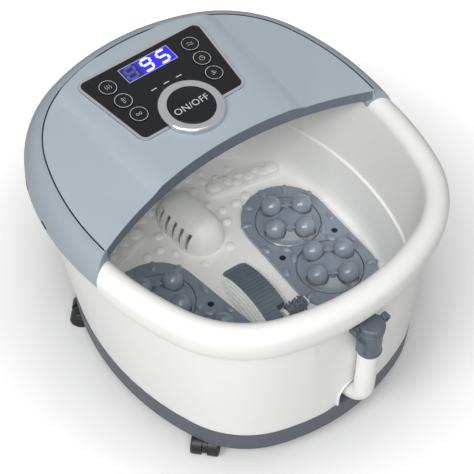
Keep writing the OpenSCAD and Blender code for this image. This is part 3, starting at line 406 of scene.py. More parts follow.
def solid(
    name: str,
    points: Sequence[Point3],
    faces: Sequence[Sequence[int]],
    finish: Finish,
    smooth: float = 40.0,
) -> bpy.types.Object:
    """Makes a mesh piece from points in millimetres.

    Args:
        name: Name of the piece.
        points: Corners in the part's frame, in millimetres.
        faces: Corner numbers of each face.
        finish: Finish that it wears.
        smooth: Edges that turn less than this many degrees are shaded smooth.

    Returns:
        The piece, in the scene.
    """
    mesh = bpy.data.meshes.new(name)
    mesh.from_pydata([tuple(c * MM for c in p) for p in points], [], [list(f) for f in faces])
    work = bmesh.new()
    work.from_mesh(mesh)
    bmesh.ops.remove_doubles(work, verts=work.verts, dist=1e-7)
    bmesh.ops.recalc_face_normals(work, faces=work.faces)
    work.to_mesh(mesh)
    work.free()
    return piece_of(name, mesh, finish, smooth)


def piece_of(name: str, mesh: bpy.types.Mesh, finish: Finish, smooth: float) -> bpy.types.Object:
    """Puts a mesh into the scene with its finish and its smooth shading.

    Args:
        name: Name of the piece.
        mesh: Its mesh, already in place.
        finish: Finish that it wears.
        smooth: Edges that turn less than this many degrees are shaded smooth.

    Returns:
        The piece.
    """
    mesh.materials.clear()
    mesh.materials.append(finish.material())
    mesh.shade_smooth()
    mesh.set_sharp_from_angle(angle=math.radians(smooth))
    made = bpy.data.objects.new(name, mesh)
    bpy.context.scene.collection.objects.link(made)
    return made


def settle(piece: bpy.types.Object, body: str, slot: Slot, *nodes: str) -> bpy.types.Object:
    """Lets a piece ride on a body and stand for nodes.

    Args:
        piece: The piece.
        body: Body that carries it.
        slot: Material slot that it belongs to; not used.
        *nodes: Solids that it replaces.

    Returns:
        The same piece.
    """
    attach(piece, body)
    if nodes:
        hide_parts(*nodes)
    LOG.info("%s rides on %s", piece.name, body)
    return piece


def prism(outline: Sequence[Point2], low: float, high: float) -> Shape:
    """Makes a flat-topped prism over an outline.

    Args:
        outline: Corners, in order.
        low: Height of its foot.
        high: Height of its top.

    Returns:
        Its points and its faces.
    """
    count = len(outline)
    points = [(x, y, low) for x, y in outline] + [(x, y, high) for x, y in outline]
    faces = [list(range(count))[::-1], list(range(count, 2 * count))]
    faces += [[i, (i + 1) % count, count + (i + 1) % count, count + i] for i in range(count)]
    return points, faces


def stroke(path: Sequence[Point2], width: float, closed: bool = False) -> list[list[Point2]]:
    """Turns a path into four-cornered pieces of line.

    Args:
        path: Points of the path.
        width: Width of the line.
        closed: Whether the path comes back to its start.

    Returns:
        One outline for each stretch, with mitred ends that meet.
    """
    count = len(path)
    sides: list[tuple[Point2, Point2]] = []
    for i, (x, y) in enumerate(path):
        before = path[i - 1] if i or closed else path[i]
        after = path[(i + 1) % count] if i + 1 < count or closed else path[i]
        along = Vector((after[0] - before[0], after[1] - before[1]))
        along.normalize()
        half = width / 2.0
        dx, dy = along.y * half, along.x * half
        sides.append(((x - dx, y + dy), (x + dx, y - dy)))
    outlines = []
    for i in range(count if closed else count - 1):
        here, there = sides[i], sides[(i + 1) % count]
        outlines.append([here[0], here[1], there[1], there[0]])
    return outlines


def circle(
    x: float,
    y: float,
    radius: float,
    start: float = 0.0,
    stop: float = 360.0,
    count: int = 32,
) -> list[Point2]:
    """Gives points on an arc.

    Args:
        x: Middle of the arc, across.
        y: Middle of the arc, along.
        radius: Its radius.
        start: Angle of the first point, in degrees.
        stop: Angle of the last point, in degrees.
        count: Steps along the arc.

    Returns:
        The points, without the last one when it is a full turn.
    """
    full = abs(stop - start) >= 360.0
    steps = count if full else count + 1
    return [
        (
            x + radius * math.cos(math.radians(start + (stop - start) * i / count)),
            y + radius * math.sin(math.radians(start + (stop - start) * i / count)),
        )
        for i in range(steps)
    ]


def revolve(profile: Sequence[Point2], count: int = 64) -> Shape:
    """Turns a closed profile of radius and height about Z.

    Args:
        profile: Corners of the profile, in order.
        count: Steps round the axis.

    Returns:
        Its points and its faces.
    """
    size = len(profile)
    points = [
        (r * math.cos(2 * math.pi * k / count), r * math.sin(2 * math.pi * k / count), z)
        for k in range(count)
        for r, z in profile
    ]
    faces = []
    for k in range(count):
        here, there = k * size, (k + 1) % count * size
        for i in range(size):
            j = (i + 1) % size
            faces.append([here + i, there + i, there + j, here + j])
    return points, faces


@dataclass(frozen=True)
class Spot:
    """A place, a turn and a size for one of many like pieces."""

    place: Point3
    turn: Point3 = (0.0, 0.0, 0.0)
    size: Point3 = (1.0, 1.0, 1.0)


class Scatter:
    """Geometry Nodes that set one shape on many spots."""

    def __init__(self, name: str, unit: Shape, finish: Finish) -> None:
        """Makes the shape that is repeated.

        Args:
            name: Name of the piece.
            unit: Points and faces of the shape, in millimetres about its foot.
            finish: Finish that it wears.
        """
        self.name = name
        self.finish = finish
        self.unit = solid(name + "_unit", unit[0], unit[1], finish)

    def tree(self) -> bpy.types.NodeTree:
        """Builds the node group with its named inputs.

        Returns:
            The group.
        """
        group = bpy.data.node_groups.new(self.name, "GeometryNodeTree")
        face = group.interface
        face.new_socket("Spots", in_out="INPUT", socket_type="NodeSocketGeometry")
        face.new_socket("Shape", in_out="INPUT", socket_type="NodeSocketObject")
        face.new_socket("Finish", in_out="INPUT", socket_type="NodeSocketMaterial")
        face.new_socket("Pieces", in_out="OUTPUT", socket_type="NodeSocketGeometry")
        tree = Nodes(group)
        start = tree.add("NodeGroupInput")
        shape = tree.add("GeometryNodeObjectInfo")
        shape.transform_space = "ORIGINAL"
        tree.join(start.outputs["Shape"], shape.inputs["Object"])
        set_on = tree.add("GeometryNodeInstanceOnPoints")
        tree.join(start.outputs["Spots"], set_on.inputs["Points"])
        tree.join(shape.outputs["Geometry"], set_on.inputs["Instance"])
        turn = tree.add("GeometryNodeInputNamedAttribute", Name="turn")
        turn.data_type = "FLOAT_VECTOR"
        turned = tree.add("FunctionNodeEulerToRotation")
        tree.join(turn.outputs["Attribute"], turned.inputs["Euler"])
        tree.join(turned.outputs["Rotation"], set_on.inputs["Rotation"])
        size = tree.add("GeometryNodeInputNamedAttribute", Name="size")
        size.data_type = "FLOAT_VECTOR"
        tree.join(size.outputs["Attribute"], set_on.inputs["Scale"])
        real = tree.add("GeometryNodeRealizeInstances")
        tree.join(set_on.outputs["Instances"], real.inputs["Geometry"])
        dress = tree.add("GeometryNodeSetMaterial")
        tree.join(real.outputs["Geometry"], dress.inputs["Geometry"])
        tree.join(start.outputs["Finish"], dress.inputs["Material"])
        end = tree.add("NodeGroupOutput")
        tree.join(dress.outputs["Geometry"], end.inputs["Pieces"])
        return group

    def make(self, spots: Sequence[Spot]) -> bpy.types.Object:
        """Sets the shape on its spots and turns the result into a plain mesh.

        Args:
            spots: Where each one sits, in millimetres.

        Returns:
            One piece that holds them all.
        """
        mesh = bpy.data.meshes.new(self.name + "_spots")
        mesh.from_pydata([tuple(c * MM for c in s.place) for s in spots], [], [])
        for label, values in (("turn", [s.turn for s in spots]), ("size", [s.size for s in spots])):
            layer = mesh.attributes.new(label, "FLOAT_VECTOR", "POINT")
            layer.data.foreach_set("vector", [c for v in values for c in v])
        carrier = bpy.data.objects.new(self.name + "_carrier", mesh)
        bpy.context.scene.collection.objects.link(carrier)
        group = self.tree()
        step = carrier.modifiers.new("set_on_spots", "NODES")
        step.node_group = group
        sockets = {s.name: s.identifier for s in group.interface.items_tree if s.in_out == "INPUT"}
        step[sockets["Shape"]] = self.unit
        step[sockets["Finish"]] = self.finish.material()
        graph = bpy.context.evaluated_depsgraph_get()
        made = bpy.data.meshes.new_from_object(carrier.evaluated_get(graph))
        made.name = self.name
        carrier.modifiers.clear()
        bpy.data.objects.remove(carrier)
        bpy.data.objects.remove(self.unit)
        return piece_of(self.name, made, self.finish, 50.0)


def dome(rings: int = 4, count: int = 12) -> Shape:
    """Gives a closed half ball of radius 1 mm, flat side down.

    Args:
        rings: Steps from its foot to its top.
        count: Steps round it.

    Returns:
        Its points and its faces.
    """
    rises = [math.radians(90 * i / rings) for i in range(rings)]
    profile = [(math.cos(a), math.sin(a)) for a in rises]
    points = [
        (r * math.cos(2 * math.pi * k / count), r * math.sin(2 * math.pi * k / count), z)
        for r, z in profile
        for k in range(count)
    ]
    points.append((0.0, 0.0, 1.0))
    faces = [list(range(count))[::-1]]
    for i in range(rings - 1):
        for k in range(count):
            j = (k + 1) % count
            faces.append([i * count + k, i * count + j, (i + 1) * count + j, (i + 1) * count + k])
    last = (rings - 1) * count
    faces += [[last + k, last + (k + 1) % count, len(points) - 1] for k in range(count)]
    return points, faces


@dataclass(frozen=True)
class Oval:
    """Plan of the rim: ten tangent arcs, widest at one line."""

    half: float = 181.0
    widest: float = 10.3
    front: float = 204.0
    back: float = 188.0
    front_corner: float = 121.0
    back_corner: float = 133.0
    turn: tuple[float, float] = (0.936, 0.352)

    def arcs(self) -> list[Arc]:
        """Gives all arcs of the plan.

        Returns:
            Centre, radius, and the angles where each one starts and stops.
        """
        back = self.half_arcs(self.widest, self.back, self.back_corner)
        front = self.half_arcs(-self.widest, self.front, self.front_corner)
        return back + [(-x, -y, r, a + 180.0, b + 180.0) for x, y, r, a, b in front]

    def half_arcs(self, y: float, length: float, corner: float) -> list[Arc]:
        """Solves the five arcs of one half.

        Args:
            y: Widest line.
            length: Length of the half.
            corner: Its corner radius.

        Returns:
            The arcs, anticlockwise.
        """
        cos, sin = self.turn
        first = math.degrees(math.atan2(sin, cos))
        second = 90.0 - first
        across = self.half - (cos - sin) * corner
        along = length - (cos - sin) * corner
        rest = 1.0 - cos
        end = (sin * across - rest * along) / (sin * sin - rest * rest)
        side = (across - sin * end) / rest
        cx = self.half - side + (side - corner) * cos
        cy = y + (side - corner) * sin
        return [
            (self.half - side, y, side, 0.0, first),
            (cx, cy, corner, first, second),
            (0.0, cy - (end - corner) * cos, end, second, 180.0 - second),
            (-cx, cy, corner, 180.0 - second, 180.0 - first),
            (side - self.half, y, side, 180.0 - first, 180.0),
        ]

    def point(self, angle: float, inset: float) -> Point2:
        """Gives the point of the plan that faces an angle.

        Args:
            angle: Direction that the plan faces there, in degrees.
            inset: How far the point is moved in.

        Returns:
            The point.
        """
        turn = angle % 360.0
        for x, y, r, a, b in self.arcs():
            if a - 1e-6 <= turn <= b + 1e-6:
                return (
                    x + (r - inset) * math.cos(math.radians(turn)),
                    y + (r - inset) * math.sin(math.radians(turn)),
                )
        raise ValueError(angle)

    def depth(self, spot: Point2) -> float:
        """Measures how deep a spot lies inside the plan.

        Args:
            spot: The spot.

        Returns:
            Its distance from the outside, below zero where it lies outside.
        """
        best = self.half
        for angle in range(0, 360, 4):
            turn = math.radians(angle)
            x, y = self.point(angle, 0.0)
            best = min(best, (x - spot[0]) * math.cos(turn) + (y - spot[1]) * math.sin(turn))
        return best


@dataclass
class Cover:
    """The sloped cover: its seam seal with painted seam shade, painted shade on its lip and painted
    shade of its side catch slots.
    """

    rim: Oval = field(default_factory=Oval)
    height: float = 241.5
    hinge_y: float = -14.0
    slope: float = 6.0
    arch_radius: float = 399.0
    arch_y: float = -379.0
    seam_inset: float = 18.4
    seam_width: float = 1.5
    seam_gap: float = 0.4
    keystone_half: float = 78.0
    keystone_flare: float = 8.0
    keystone_run: float = 189.0
    keystone_rise: float = 3.0
    keystone_fall: float = 13.0
    lip_depth: float = 12.0
    lip_reach: float = 23.6
    lip_shy: float = 0.5
    lip_faces: Point2 = (0.25, -0.8)
    catch_angles: tuple[float, ...] = (11.0, 24.0, 156.0, 169.0)
    catch_shift: float = 2.6
    catch_height: float = 216.5

    def matrix(self) -> Matrix:
        """Gives the way from the cover's own frame to the part's, in millimetres."""
        return (
            Matrix.Translation((0.0, self.hinge_y, self.height))
            @ Matrix.Rotation(math.radians(self.slope), 4, "X")
            @ Matrix.Translation((0.0, -self.hinge_y, 0.0))
        )

    def place(self, points: Iterable[Point3]) -> list[Point3]:
        """Moves points from the cover's own frame to the part's.

        Args:
            points: Points in the cover's frame.

        Returns:
            The same points in the part's frame.
        """
        way = self.matrix()
        return [tuple(way @ Vector(p)) for p in points]

    def seam_path(self) -> list[Point2]:
        """Follows the seam from one end of the arch to the other.

        Returns:
            The seam's middle line in the cover's frame.
        """
        path = []
        for step in range(-60, 421):
            x, y = self.rim.point(step * 0.5, self.seam_inset)
            world_y = self.place([(x, y, 0.0)])[0][1]
            if math.hypot(x, world_y - self.arch_y) > self.arch_radius + self.seam_gap:
                path.append((x, y))
        return path

    def build(self) -> None:
        """Builds the seal with its painted seam shade, the lip's painted shade and the catch slots'
        painted shade.
        """
        self.seal()
        self.lip()
        self.catches()

    def seal(self) -> None:
        """Lays the dark seal into the seam; its dark colour is partly painted shade of the seam's
        groove.
        """
        points: list[Point3] = []
        faces: list[list[int]] = []
        path = self.seam_path()
        section = [(-0.5, -1.2), (-0.5, 0.04), (-0.2, 0.12), (0.2, 0.12), (0.5, 0.04), (0.5, -1.2)]
        for i, (x, y) in enumerate(path):
            ahead = path[min(i + 1, len(path) - 1)]
            behind = path[max(i - 1, 0)]
            along = Vector((ahead[0] - behind[0], ahead[1] - behind[1])).normalized()
            for u, z in section:
                points.append((x + along.y * u * self.seam_width, y - along.x * u * self.seam_width, z))
        size = len(section)
        for i in range(len(path) - 1):
            for k in range(size):
                j = (k + 1) % size
                faces.append([i * size + k, i * size + j, (i + 1) * size + j, (i + 1) * size + k])
        faces.append(list(range(size)))
        faces.append([(len(path) - 1) * size + k for k in range(size)][::-1])
        settle(solid("cover_seam_seal", self.place(points), faces, SEAM_DARK), "basin", Slot.RUBBER)

    def top(self, x: float, y: float) -> float:
        """Gives the height of the cover's top face with its raised keystone.

        Args:
            x: Across the part.
            y: Along the part.

        Returns:
            Height above the cover's flat face.
        """
        edge = self.keystone_half + self.keystone_flare * (y - self.hinge_y) / self.keystone_run
        drop = (abs(x) - edge) * self.keystone_rise / self.keystone_fall
        return max(0.0, min(self.keystone_rise, self.keystone_rise - drop))

    def lip(self) -> None:
        """Covers the arched front face with a darker copy of the cover grey: painted shade of the face
        that looks down and forward.
        """
        points: list[Point3] = []
        faces: list[list[int]] = []
        way = self.matrix()
        back = way.inverted()
        steps = 120
        levels = 5
        for i in range(steps + 1):
            angle = math.radians(90.0 + self.lip_reach * (2.0 * i / steps - 1.0))
            for depth in self.lip_faces:
                radius = self.arch_radius - depth
                x = radius * math.cos(angle)
                y = self.arch_y + radius * math.sin(angle)
                rise = self.top(x, y) - self.lip_shy
                for k in range(levels):
                    low = -self.lip_depth + (rise + self.lip_depth) * k / (levels - 1)
                    local_y = (back @ Vector((x, y, self.height))).y
                    height = (way @ Vector((x, local_y, low))).z
                    points.append((x, y, height))
        size = 2 * levels
        loop = list(range(levels)) + list(range(2 * levels - 1, levels - 1, -1))
        for i in range(steps):
            for k in range(size):
                a, b = loop[k], loop[(k + 1) % size]
                faces.append([i * size + a, i * size + b, (i + 1) * size + b, (i + 1) * size + a])
        faces.append(loop[::-1])
        faces.append([steps * size + k for k in loop])
        settle(solid("cover_lip_trim", points, faces, LIP_SHADE), "basin", Slot.COVER)

    def catches(self) -> None:
        """Sets two flat dark patches on each side of the cover's lower edge: painted shade of the catch
        slots.
        """
        half = [(-4.5, -1.5), (4.5, -1.5), (5.0, 0.0)]
        outline = half + [(-x, -y) for x, y in half]
        maker = Scatter("cover_catches", prism(outline, 0.0, 0.5), RECESS_SHADE)
        spots = []
        for angle in self.catch_angles:
            x, y = self.rim.point(angle, 0.0)
            facing = Euler((math.radians(90.0), 0.0, math.radians(angle + 90.0)))
            spots.append(Spot((x, y + self.catch_shift, self.catch_height), tuple(facing)))
        settle(maker.make(spots), "basin", Slot.RUBBER)


class Icon(Enum):
    """Plain line signs on the six round keys, as paths in a circle of radius one."""

    HEAT = (
        [[(x, -0.4), (x + 0.12, -0.14), (x - 0.04, 0.12), (x + 0.08, 0.4)] for x in (-0.36, 0.0, 0.36)],
    )
    DEGREES = (
        [
            [(-0.12, 0.45), (-0.12, -0.2), (-0.2, -0.36), (0.0, -0.5)]
            + [(0.2, -0.36), (0.12, -0.2), (0.12, 0.45), (-0.12, 0.45)],
            [(0.3, 0.3), (0.48, 0.3)],
            [(0.3, 0.05), (0.48, 0.05)],
        ],
    )
    ROLL = (
        [
            circle(-0.26, 0.0, 0.2, 0, 359, 14),
            circle(0.26, 0.0, 0.2, 0, 359, 14),
            [(-0.06, 0.0), (0.06, 0.0)],
        ],
    )
    WAVE = (
        [[(-0.5, y), (-0.25, y + 0.16), (0.0, y), (0.25, y - 0.16), (0.5, y)] for y in (0.18, -0.18)],
    )
    CLOCK = (
        [
            circle(0.0, 0.0, 0.42, 0, 359, 20),
            [(0.0, 0.28), (0.0, 0.0), (0.2, -0.1)],
        ],
    )
    BUBBLES = (
        [
            circle(-0.22, -0.14, 0.2, 0, 359, 14),
            circle(0.22, 0.02, 0.16, 0, 359, 14),
            circle(-0.06, 0.34, 0.1, 0, 359, 12),
        ],
    )


@dataclass
class ControlPanel:
    """Prints and lights on the control panel and its keys."""

    cover: Cover
    panel_top: float = 4.0
    key_top: float = 4.7
    power_top: float = 8.0
    power_y: float = 70.0
    key_x: float = 47.5
    key_y: float = 114.0
    key_pitch: float = 21.8
    key_lean: float = 2.2
    ring_radius: float = 8.5
    icon_radius: float = 6.6
    line: float = 0.52
    icon_line: float = 0.416
    ink: float = 0.05
    sunk: float = 0.02
    words_size: float = 10.5
    words_spacing: float = 1.06
    words_weight: float = 0.02
    dash_half: float = 3.2
    dash_span: Point2 = (108.4, 109.5)
    dash_pitch: float = 15.0
    display_y: float = 138.5
    display_half: Point2 = (29.5, 10.0)
    display_rim: float = 0.8
    digit_half: Point2 = (5.2, 7.3)
    digit_bar: float = 1.45
    digit_gap: float = 0.3
    digit_lean: float = 0.16

    def key_spots(self) -> list[Point2]:
        """Places the six keys.

        Returns:
            Their middles, left row first, back to front.
        """
        return [
            (side * (self.key_x + k * self.key_lean), self.key_y + k * self.key_pitch)
            for side in (-1, 1)
            for k in (1, 0, -1)
        ]

    def inked(
        self,
        name: str,
        outlines: Sequence[Sequence[Point2]],
        height: float,
        finish: Finish,
    ) -> bpy.types.Object:
        """Prints outlines as a thin layer on the cover's frame.

        Args:
            name: Name of the print.
            outlines: Its patches.
            height: Height of the face under it, in the cover's frame.
            finish: Ink or light.

        Returns:
            The print.
        """
        points: list[Point3] = []
        faces: list[list[int]] = []
        for outline in outlines:
            more, sides = prism(outline, height - self.sunk, height + self.ink)
            faces += [[i + len(points) for i in f] for f in sides]
            points += more
        return solid(name, self.cover.place(points), faces, finish)

    def build(self) -> None:
        """Builds all prints and lights."""
        for number, (spot, icon) in enumerate(zip(self.key_spots(), Icon), start=1):
            self.key(number, spot, icon)
        self.power()
        self.dashes()
        self.display()

    def key(self, number: int, spot: Point2, icon: Icon) -> None:
        """Prints the ring and the sign of one key.

        Args:
            number: Number of the key.
            spot: Its middle.
            icon: Its sign.
        """
        x, y = spot
        outlines = stroke(circle(x, y, self.ring_radius, count=48), self.line, closed=True)
        for path in icon.value[0]:
            scaled = [(x + px * self.icon_radius, y + py * self.icon_radius) for px, py in path]
            outlines += stroke(scaled, self.icon_line)
        ink = self.inked(f"key_{number}_print", outlines, self.key_top, PRINT_PALE)
        settle(ink, f"key_{number}", Slot.PANEL)

    def power(self) -> None:
        """Prints ON/OFF on the power key."""
        curve = bpy.data.curves.new("power_key_words", "FONT")
        curve.body = "ON/OFF"
        curve.align_x = "CENTER"
        curve.align_y = "CENTER"
        curve.size = self.words_size
        curve.space_character = self.words_spacing
        curve.offset = self.words_weight
        curve.extrude = self.ink
        curve.resolution_u = 4
        holder = bpy.data.objects.new("power_key_words_curve", curve)
        bpy.context.scene.collection.objects.link(holder)
        graph = bpy.context.evaluated_depsgraph_get()
        mesh = bpy.data.meshes.new_from_object(holder.evaluated_get(graph))
        bpy.data.objects.remove(holder)
        spot = Matrix.Translation((0.0, self.power_y, self.power_top))
        mesh.transform(Matrix.Scale(MM, 4) @ self.cover.matrix() @ spot)
        mesh.name = "power_key_words"
        settle(piece_of("power_key_words", mesh, PRINT_PALE, 40.0), "power_key", Slot.PANEL)

    def dashes(self) -> None:
        """Prints the three dashes between display and power key."""
        low, high = self.dash_span
        half = self.dash_half
        outlines = [
            [(x - half, low), (x + half, low), (x + half, high), (x - half, high)]
            for x in (-self.dash_pitch, 0.0, self.dash_pitch)
        ]
        settle(self.inked("panel_dashes", outlines, self.panel_top, PRINT_PALE), "basin", Slot.PANEL)

    def display(self) -> None:
        """Builds the lit digits, the dim one and the pale rim of the display."""
        segments = {"8": "abcdefg", "9": "abcdfg", "5": "acdfg"}
        bright: list[list[Point2]] = []
        dim: list[list[Point2]] = []
        for digit, x, into in (("8", -20.0, dim), ("9", -1.0, bright), ("5", 18.0, bright)):
            for letter in segments[digit]:
                into.append(self.segment(letter, x))
        settle(self.inked("display_digits", bright, self.panel_top, DIGIT_WHITE), "basin", Slot.DISPLAY)
        settle(self.inked("display_dim_digit", dim, self.panel_top, DIGIT_DIM), "basin", Slot.DISPLAY)
        w, h = self.display_half
        thick = self.display_rim
        corners = ((-1, -1), (1, -1), (1, 1), (-1, 1))
        edge = [(x * w, self.display_y + y * h) for x, y in corners]
        inner = [(x * (w - thick), self.display_y + y * (h - thick)) for x, y in corners]
        rim = [[edge[i], edge[(i + 1) % 4], inner[(i + 1) % 4], inner[i]] for i in range(4)]
        settle(self.inked("display_rim", rim, self.panel_top, RIM_LAVENDER), "basin", Slot.DISPLAY)

    def segment(self, letter: str, x: float) -> list[Point2]:
        """Gives the outline of one segment of a digit.

        Args:
            letter: Segment, from a at the top round to g in the middle.
            x: Middle of the digit.

        Returns:
            A six-cornered outline, leaning a little to the right.
        """
        w, h = self.digit_half
        t = self.digit_bar
        ends = {
            "a": ((-w, h), (w, h)),
            "b": ((w, h), (w, 0.0)),
            "c": ((w, 0.0), (w, -h)),
            "d": ((-w, -h), (w, -h)),
            "e": ((-w, 0.0), (-w, -h)),
            "f": ((-w, h), (-w, 0.0)),
            "g": ((-w, 0.0), (w, 0.0)),
        }[letter]
        (ax, ay), (bx, by) = ends
        along = Vector((bx - ax, by - ay)).normalized()
        side = Vector((-along.y, along.x))
        start = Vector((ax, ay)) + along * self.digit_gap
        stop = Vector((bx, by)) - along * self.digit_gap
        near, far = start + along * t, stop - along * t
        corners = [start, near + side * t, far + side * t, stop, far - side * t, near - side * t]
        return [(x + c.x + c.y * self.digit_lean, self.display_y + c.y) for c in corners]


@dataclass
class FootPlate:
    """One foot plate: its drop-shaped ridges and the painted shade of its screw slots."""

    side: int
    x: float = 81.0
    y: float = -20.5
    splay: float = 5.0
    floor: float = 71.0
    thick: float = 4.0
    span: float = 86.0
    ridge: Point3 = (6.6, 3.9, 3.0)
    ridge_reach: float = 42.0
    screw_x: float = 33.5
    screw_sunk: float = 0.4
    slot_half: Point2 = (0.35, 1.9)

    @property
    def label(self) -> str:
        """Left or right."""
        return "right" if self.side > 0 else "left"

    def place(self, x: float, y: float) -> Point2:
        """Moves a spot of the plate into the part's frame.

        Args:
            x: Across the plate.
            y: Along the plate.

        Returns:
            The spot in the part's frame.
        """
        turn = math.radians(-self.side * self.splay)
        return (
            self.side * self.x + x * math.cos(turn) - y * math.sin(turn),
            self.y + x * math.sin(turn) + y * math.cos(turn),
        )

    def ridge_spots(self) -> list[tuple[Point2, float]]:
        """Places the ridges round the turntables and between them.

        Returns:
            The middle and the direction of each ridge.
        """
        reach = self.ridge_reach
        end = self.span / 2.0 - 1.0
        spots: list[tuple[Point2, float]] = []
        for y, first in ((end, 20), (-end, 200)):
            for a in range(first, first + 141, 35):
                turn = math.radians(a)
                spots.append(((reach * math.cos(turn), y + reach * math.sin(turn)), a))
        for x, y in ((-reach, 18.0), (-reach, -18.0), (reach, 18.0), (reach, -18.0)):
            spots.append(((x, y), 80.0 if x * y > 0 else 100.0))
        for x, y in ((-24.0, 7.0), (24.0, -7.0), (-24.0, -7.0), (24.0, 7.0), (0.0, 0.0)):
            spots.append(((x, y), 60.0 if x * y > 0 else 120.0))
        return spots

    def build(self) -> None:
        """Builds the ridges and the painted shade of the screw slots."""
        base = self.floor + self.thick
        maker = Scatter(f"foot_plate_ridges_{self.label}", dome(5, 18), Slot.FITTING.finish)
        spots = []
        for (x, y), angle in self.ridge_spots():
            px, py = self.place(x, y)
            turn = math.radians(angle - self.side * self.splay)
            spots.append(Spot((px, py, base), (0.0, 0.0, turn), self.ridge))
        settle(maker.make(spots), "basin", Slot.FITTING)
        # Flat dark crosses on the screw heads: painted shade of their cross recesses.
        thin, long = self.slot_half
        half = [(-thin, -long), (thin, -long), (thin, -thin), (long, -thin), (long, thin), (thin, thin)]
        cross = half + [(-x, -y) for x, y in half]
        slots = Scatter(f"plate_screw_slots_{self.label}", prism(cross, 0.0, 0.06), RECESS_SHADE)
        marks = []
        for k, x in enumerate((-self.screw_x, self.screw_x)):
            px, py = self.place(x, 0.0)
            marks.append(Spot((px, py, base - self.screw_sunk), (0.0, 0.0, 0.4 + k)))
        settle(slots.make(marks), "basin", Slot.SCREW)


@dataclass
class TubFloor:
    """Pebbles on the tub floor and rounded bumps on the toe bars."""

    rim: Oval = field(default_factory=Oval)
    height: float = 71.0
    inset: float = 46.0
    pitch: float = 17.0
    pebble: float = 5.6
    bar_x: float = 86.0
    bar_y: float = 94.0
    bar_turn: float = 13.0
    bar_straight: float = 33.5
    bar_half: float = 9.5
    bar_top: float = 78.0
    bump_sunk: float = 0.3
    dome_y: float = 76.0
    dome_half: Point2 = (25.0, 17.0)
    drain_y: float = -122.0
    drain_radius: float = 8.0
    plate_spot: Point2 = (81.0, -20.5)
    plate_splay: float = 5.0
    plate_half: Point2 = (47.0, 43.0)
    bridge_low: Point2 = (-33.0, -92.0)
    bridge_high: Point2 = (30.0, 9.0)

    def free(self, x: float, y: float) -> bool:
        """Says whether a pebble has room at a spot of the floor.

        Args:
            x: Across the part.
            y: Along the part.

        Returns:
            True where no fitting is in the way.
        """
        if self.rim.depth((x, y)) < self.inset + self.pebble:
            return False
        side = 1.0 if x > 0 else -1.0
        plate_x, plate_y = self.plate_spot
        px, py = self.local(x - side * plate_x, y - plate_y, side * self.plate_splay)
        wide, straight = self.plate_half
        if math.hypot(px, max(0.0, abs(py) - straight)) < wide + self.pebble:
            return False
        wide, straight = self.dome_half
        if math.hypot(x, max(0.0, abs(y - self.dome_y) - straight)) < wide + 0.5 + self.pebble:
            return False
        (left, front), (right, back) = self.bridge_low, self.bridge_high
        if left - self.pebble < x < right + self.pebble and front < y < back + self.pebble:
            return False
        bx, by = self.local(x - side * self.bar_x, y - self.bar_y, side * self.bar_turn)
        if math.hypot(max(0.0, abs(bx) - self.bar_straight), by) < self.bar_half + 1.0 + self.pebble:
            return False
        return math.hypot(x, y - self.drain_y) > self.drain_radius + self.pebble

    def local(self, x: float, y: float, degrees: float) -> Point2:
        """Turns an offset into the frame of a fitting.

        Args:
            x: Across the part, from the fitting's middle.
            y: Along the part, from the fitting's middle.
            degrees: Turn of the offset.

        Returns:
            The offset in the fitting's frame.
        """
        turn = math.radians(degrees)
        return (
            x * math.cos(turn) - y * math.sin(turn),
            x * math.sin(turn) + y * math.cos(turn),
        )

    def build(self) -> None:
        """Builds pebbles and bumps."""
        self.pebbles()
        self.bumps()

    def pebbles(self) -> None:
        """Sows pebbles over the free floor in a slightly uneven grid."""
        spots = []
        for row in range(-12, 13):
            for column in range(-11, 12):
                wave = math.sin(row * 12.9898 + column * 78.233) * 43758.5453
                jitter = wave - math.floor(wave)
                x = (column + 0.5 * (row % 2)) * self.pitch + (jitter - 0.5) * 4.0
                y = row * self.pitch * 0.87 + (jitter * 7.0 % 1.0 - 0.5) * 4.0
                if self.free(x, y):
                    size = self.pebble * (0.85 + 0.3 * (jitter * 3.0 % 1.0))
                    turn = (0.0, 0.0, jitter * 6.28)
                    spots.append(Spot((x, y, self.height), turn, (size, size * 0.86, size * 0.55)))
        maker = Scatter("tub_floor_pebbles", dome(5, 18), Slot.WHITE.finish)
        settle(maker.make(spots), "basin", Slot.WHITE)

    def bumps(self) -> None:
        """Sets the rounded bumps on the two toe bars, large ones at their ends."""
        row = (
            (-34.0, 0.5, 8.2, 7.4),
            (-17.5, 2.6, 4.6, 6.8),
            (-9.0, -3.2, 5.0, 5.2),
            (-3.0, 4.2, 5.2, 4.4),
            (6.5, -0.6, 6.4, 6.2),
            (18.5, 3.6, 6.2, 5.0),
            (24.0, -1.6, 7.6, 6.6),
            (34.5, 0.2, 8.2, 7.6),
        )
        spots = []
        for side in (-1.0, 1.0):
            turn = math.radians(-side * self.bar_turn)
            for along, off, long, wide in row:
                lx, ly = side * along, off
                x = side * self.bar_x + lx * math.cos(turn) - ly * math.sin(turn)
                y = self.bar_y + lx * math.sin(turn) + ly * math.cos(turn)
                place = (x, y, self.bar_top - self.bump_sunk)
                spots.append(Spot(place, (0.0, 0.0, turn), (long, wide, 0.5 * wide)))
        maker = Scatter("toe_bar_bumps", dome(6, 20), Slot.WHITE.finish)
        settle(maker.make(spots), "basin", Slot.WHITE)


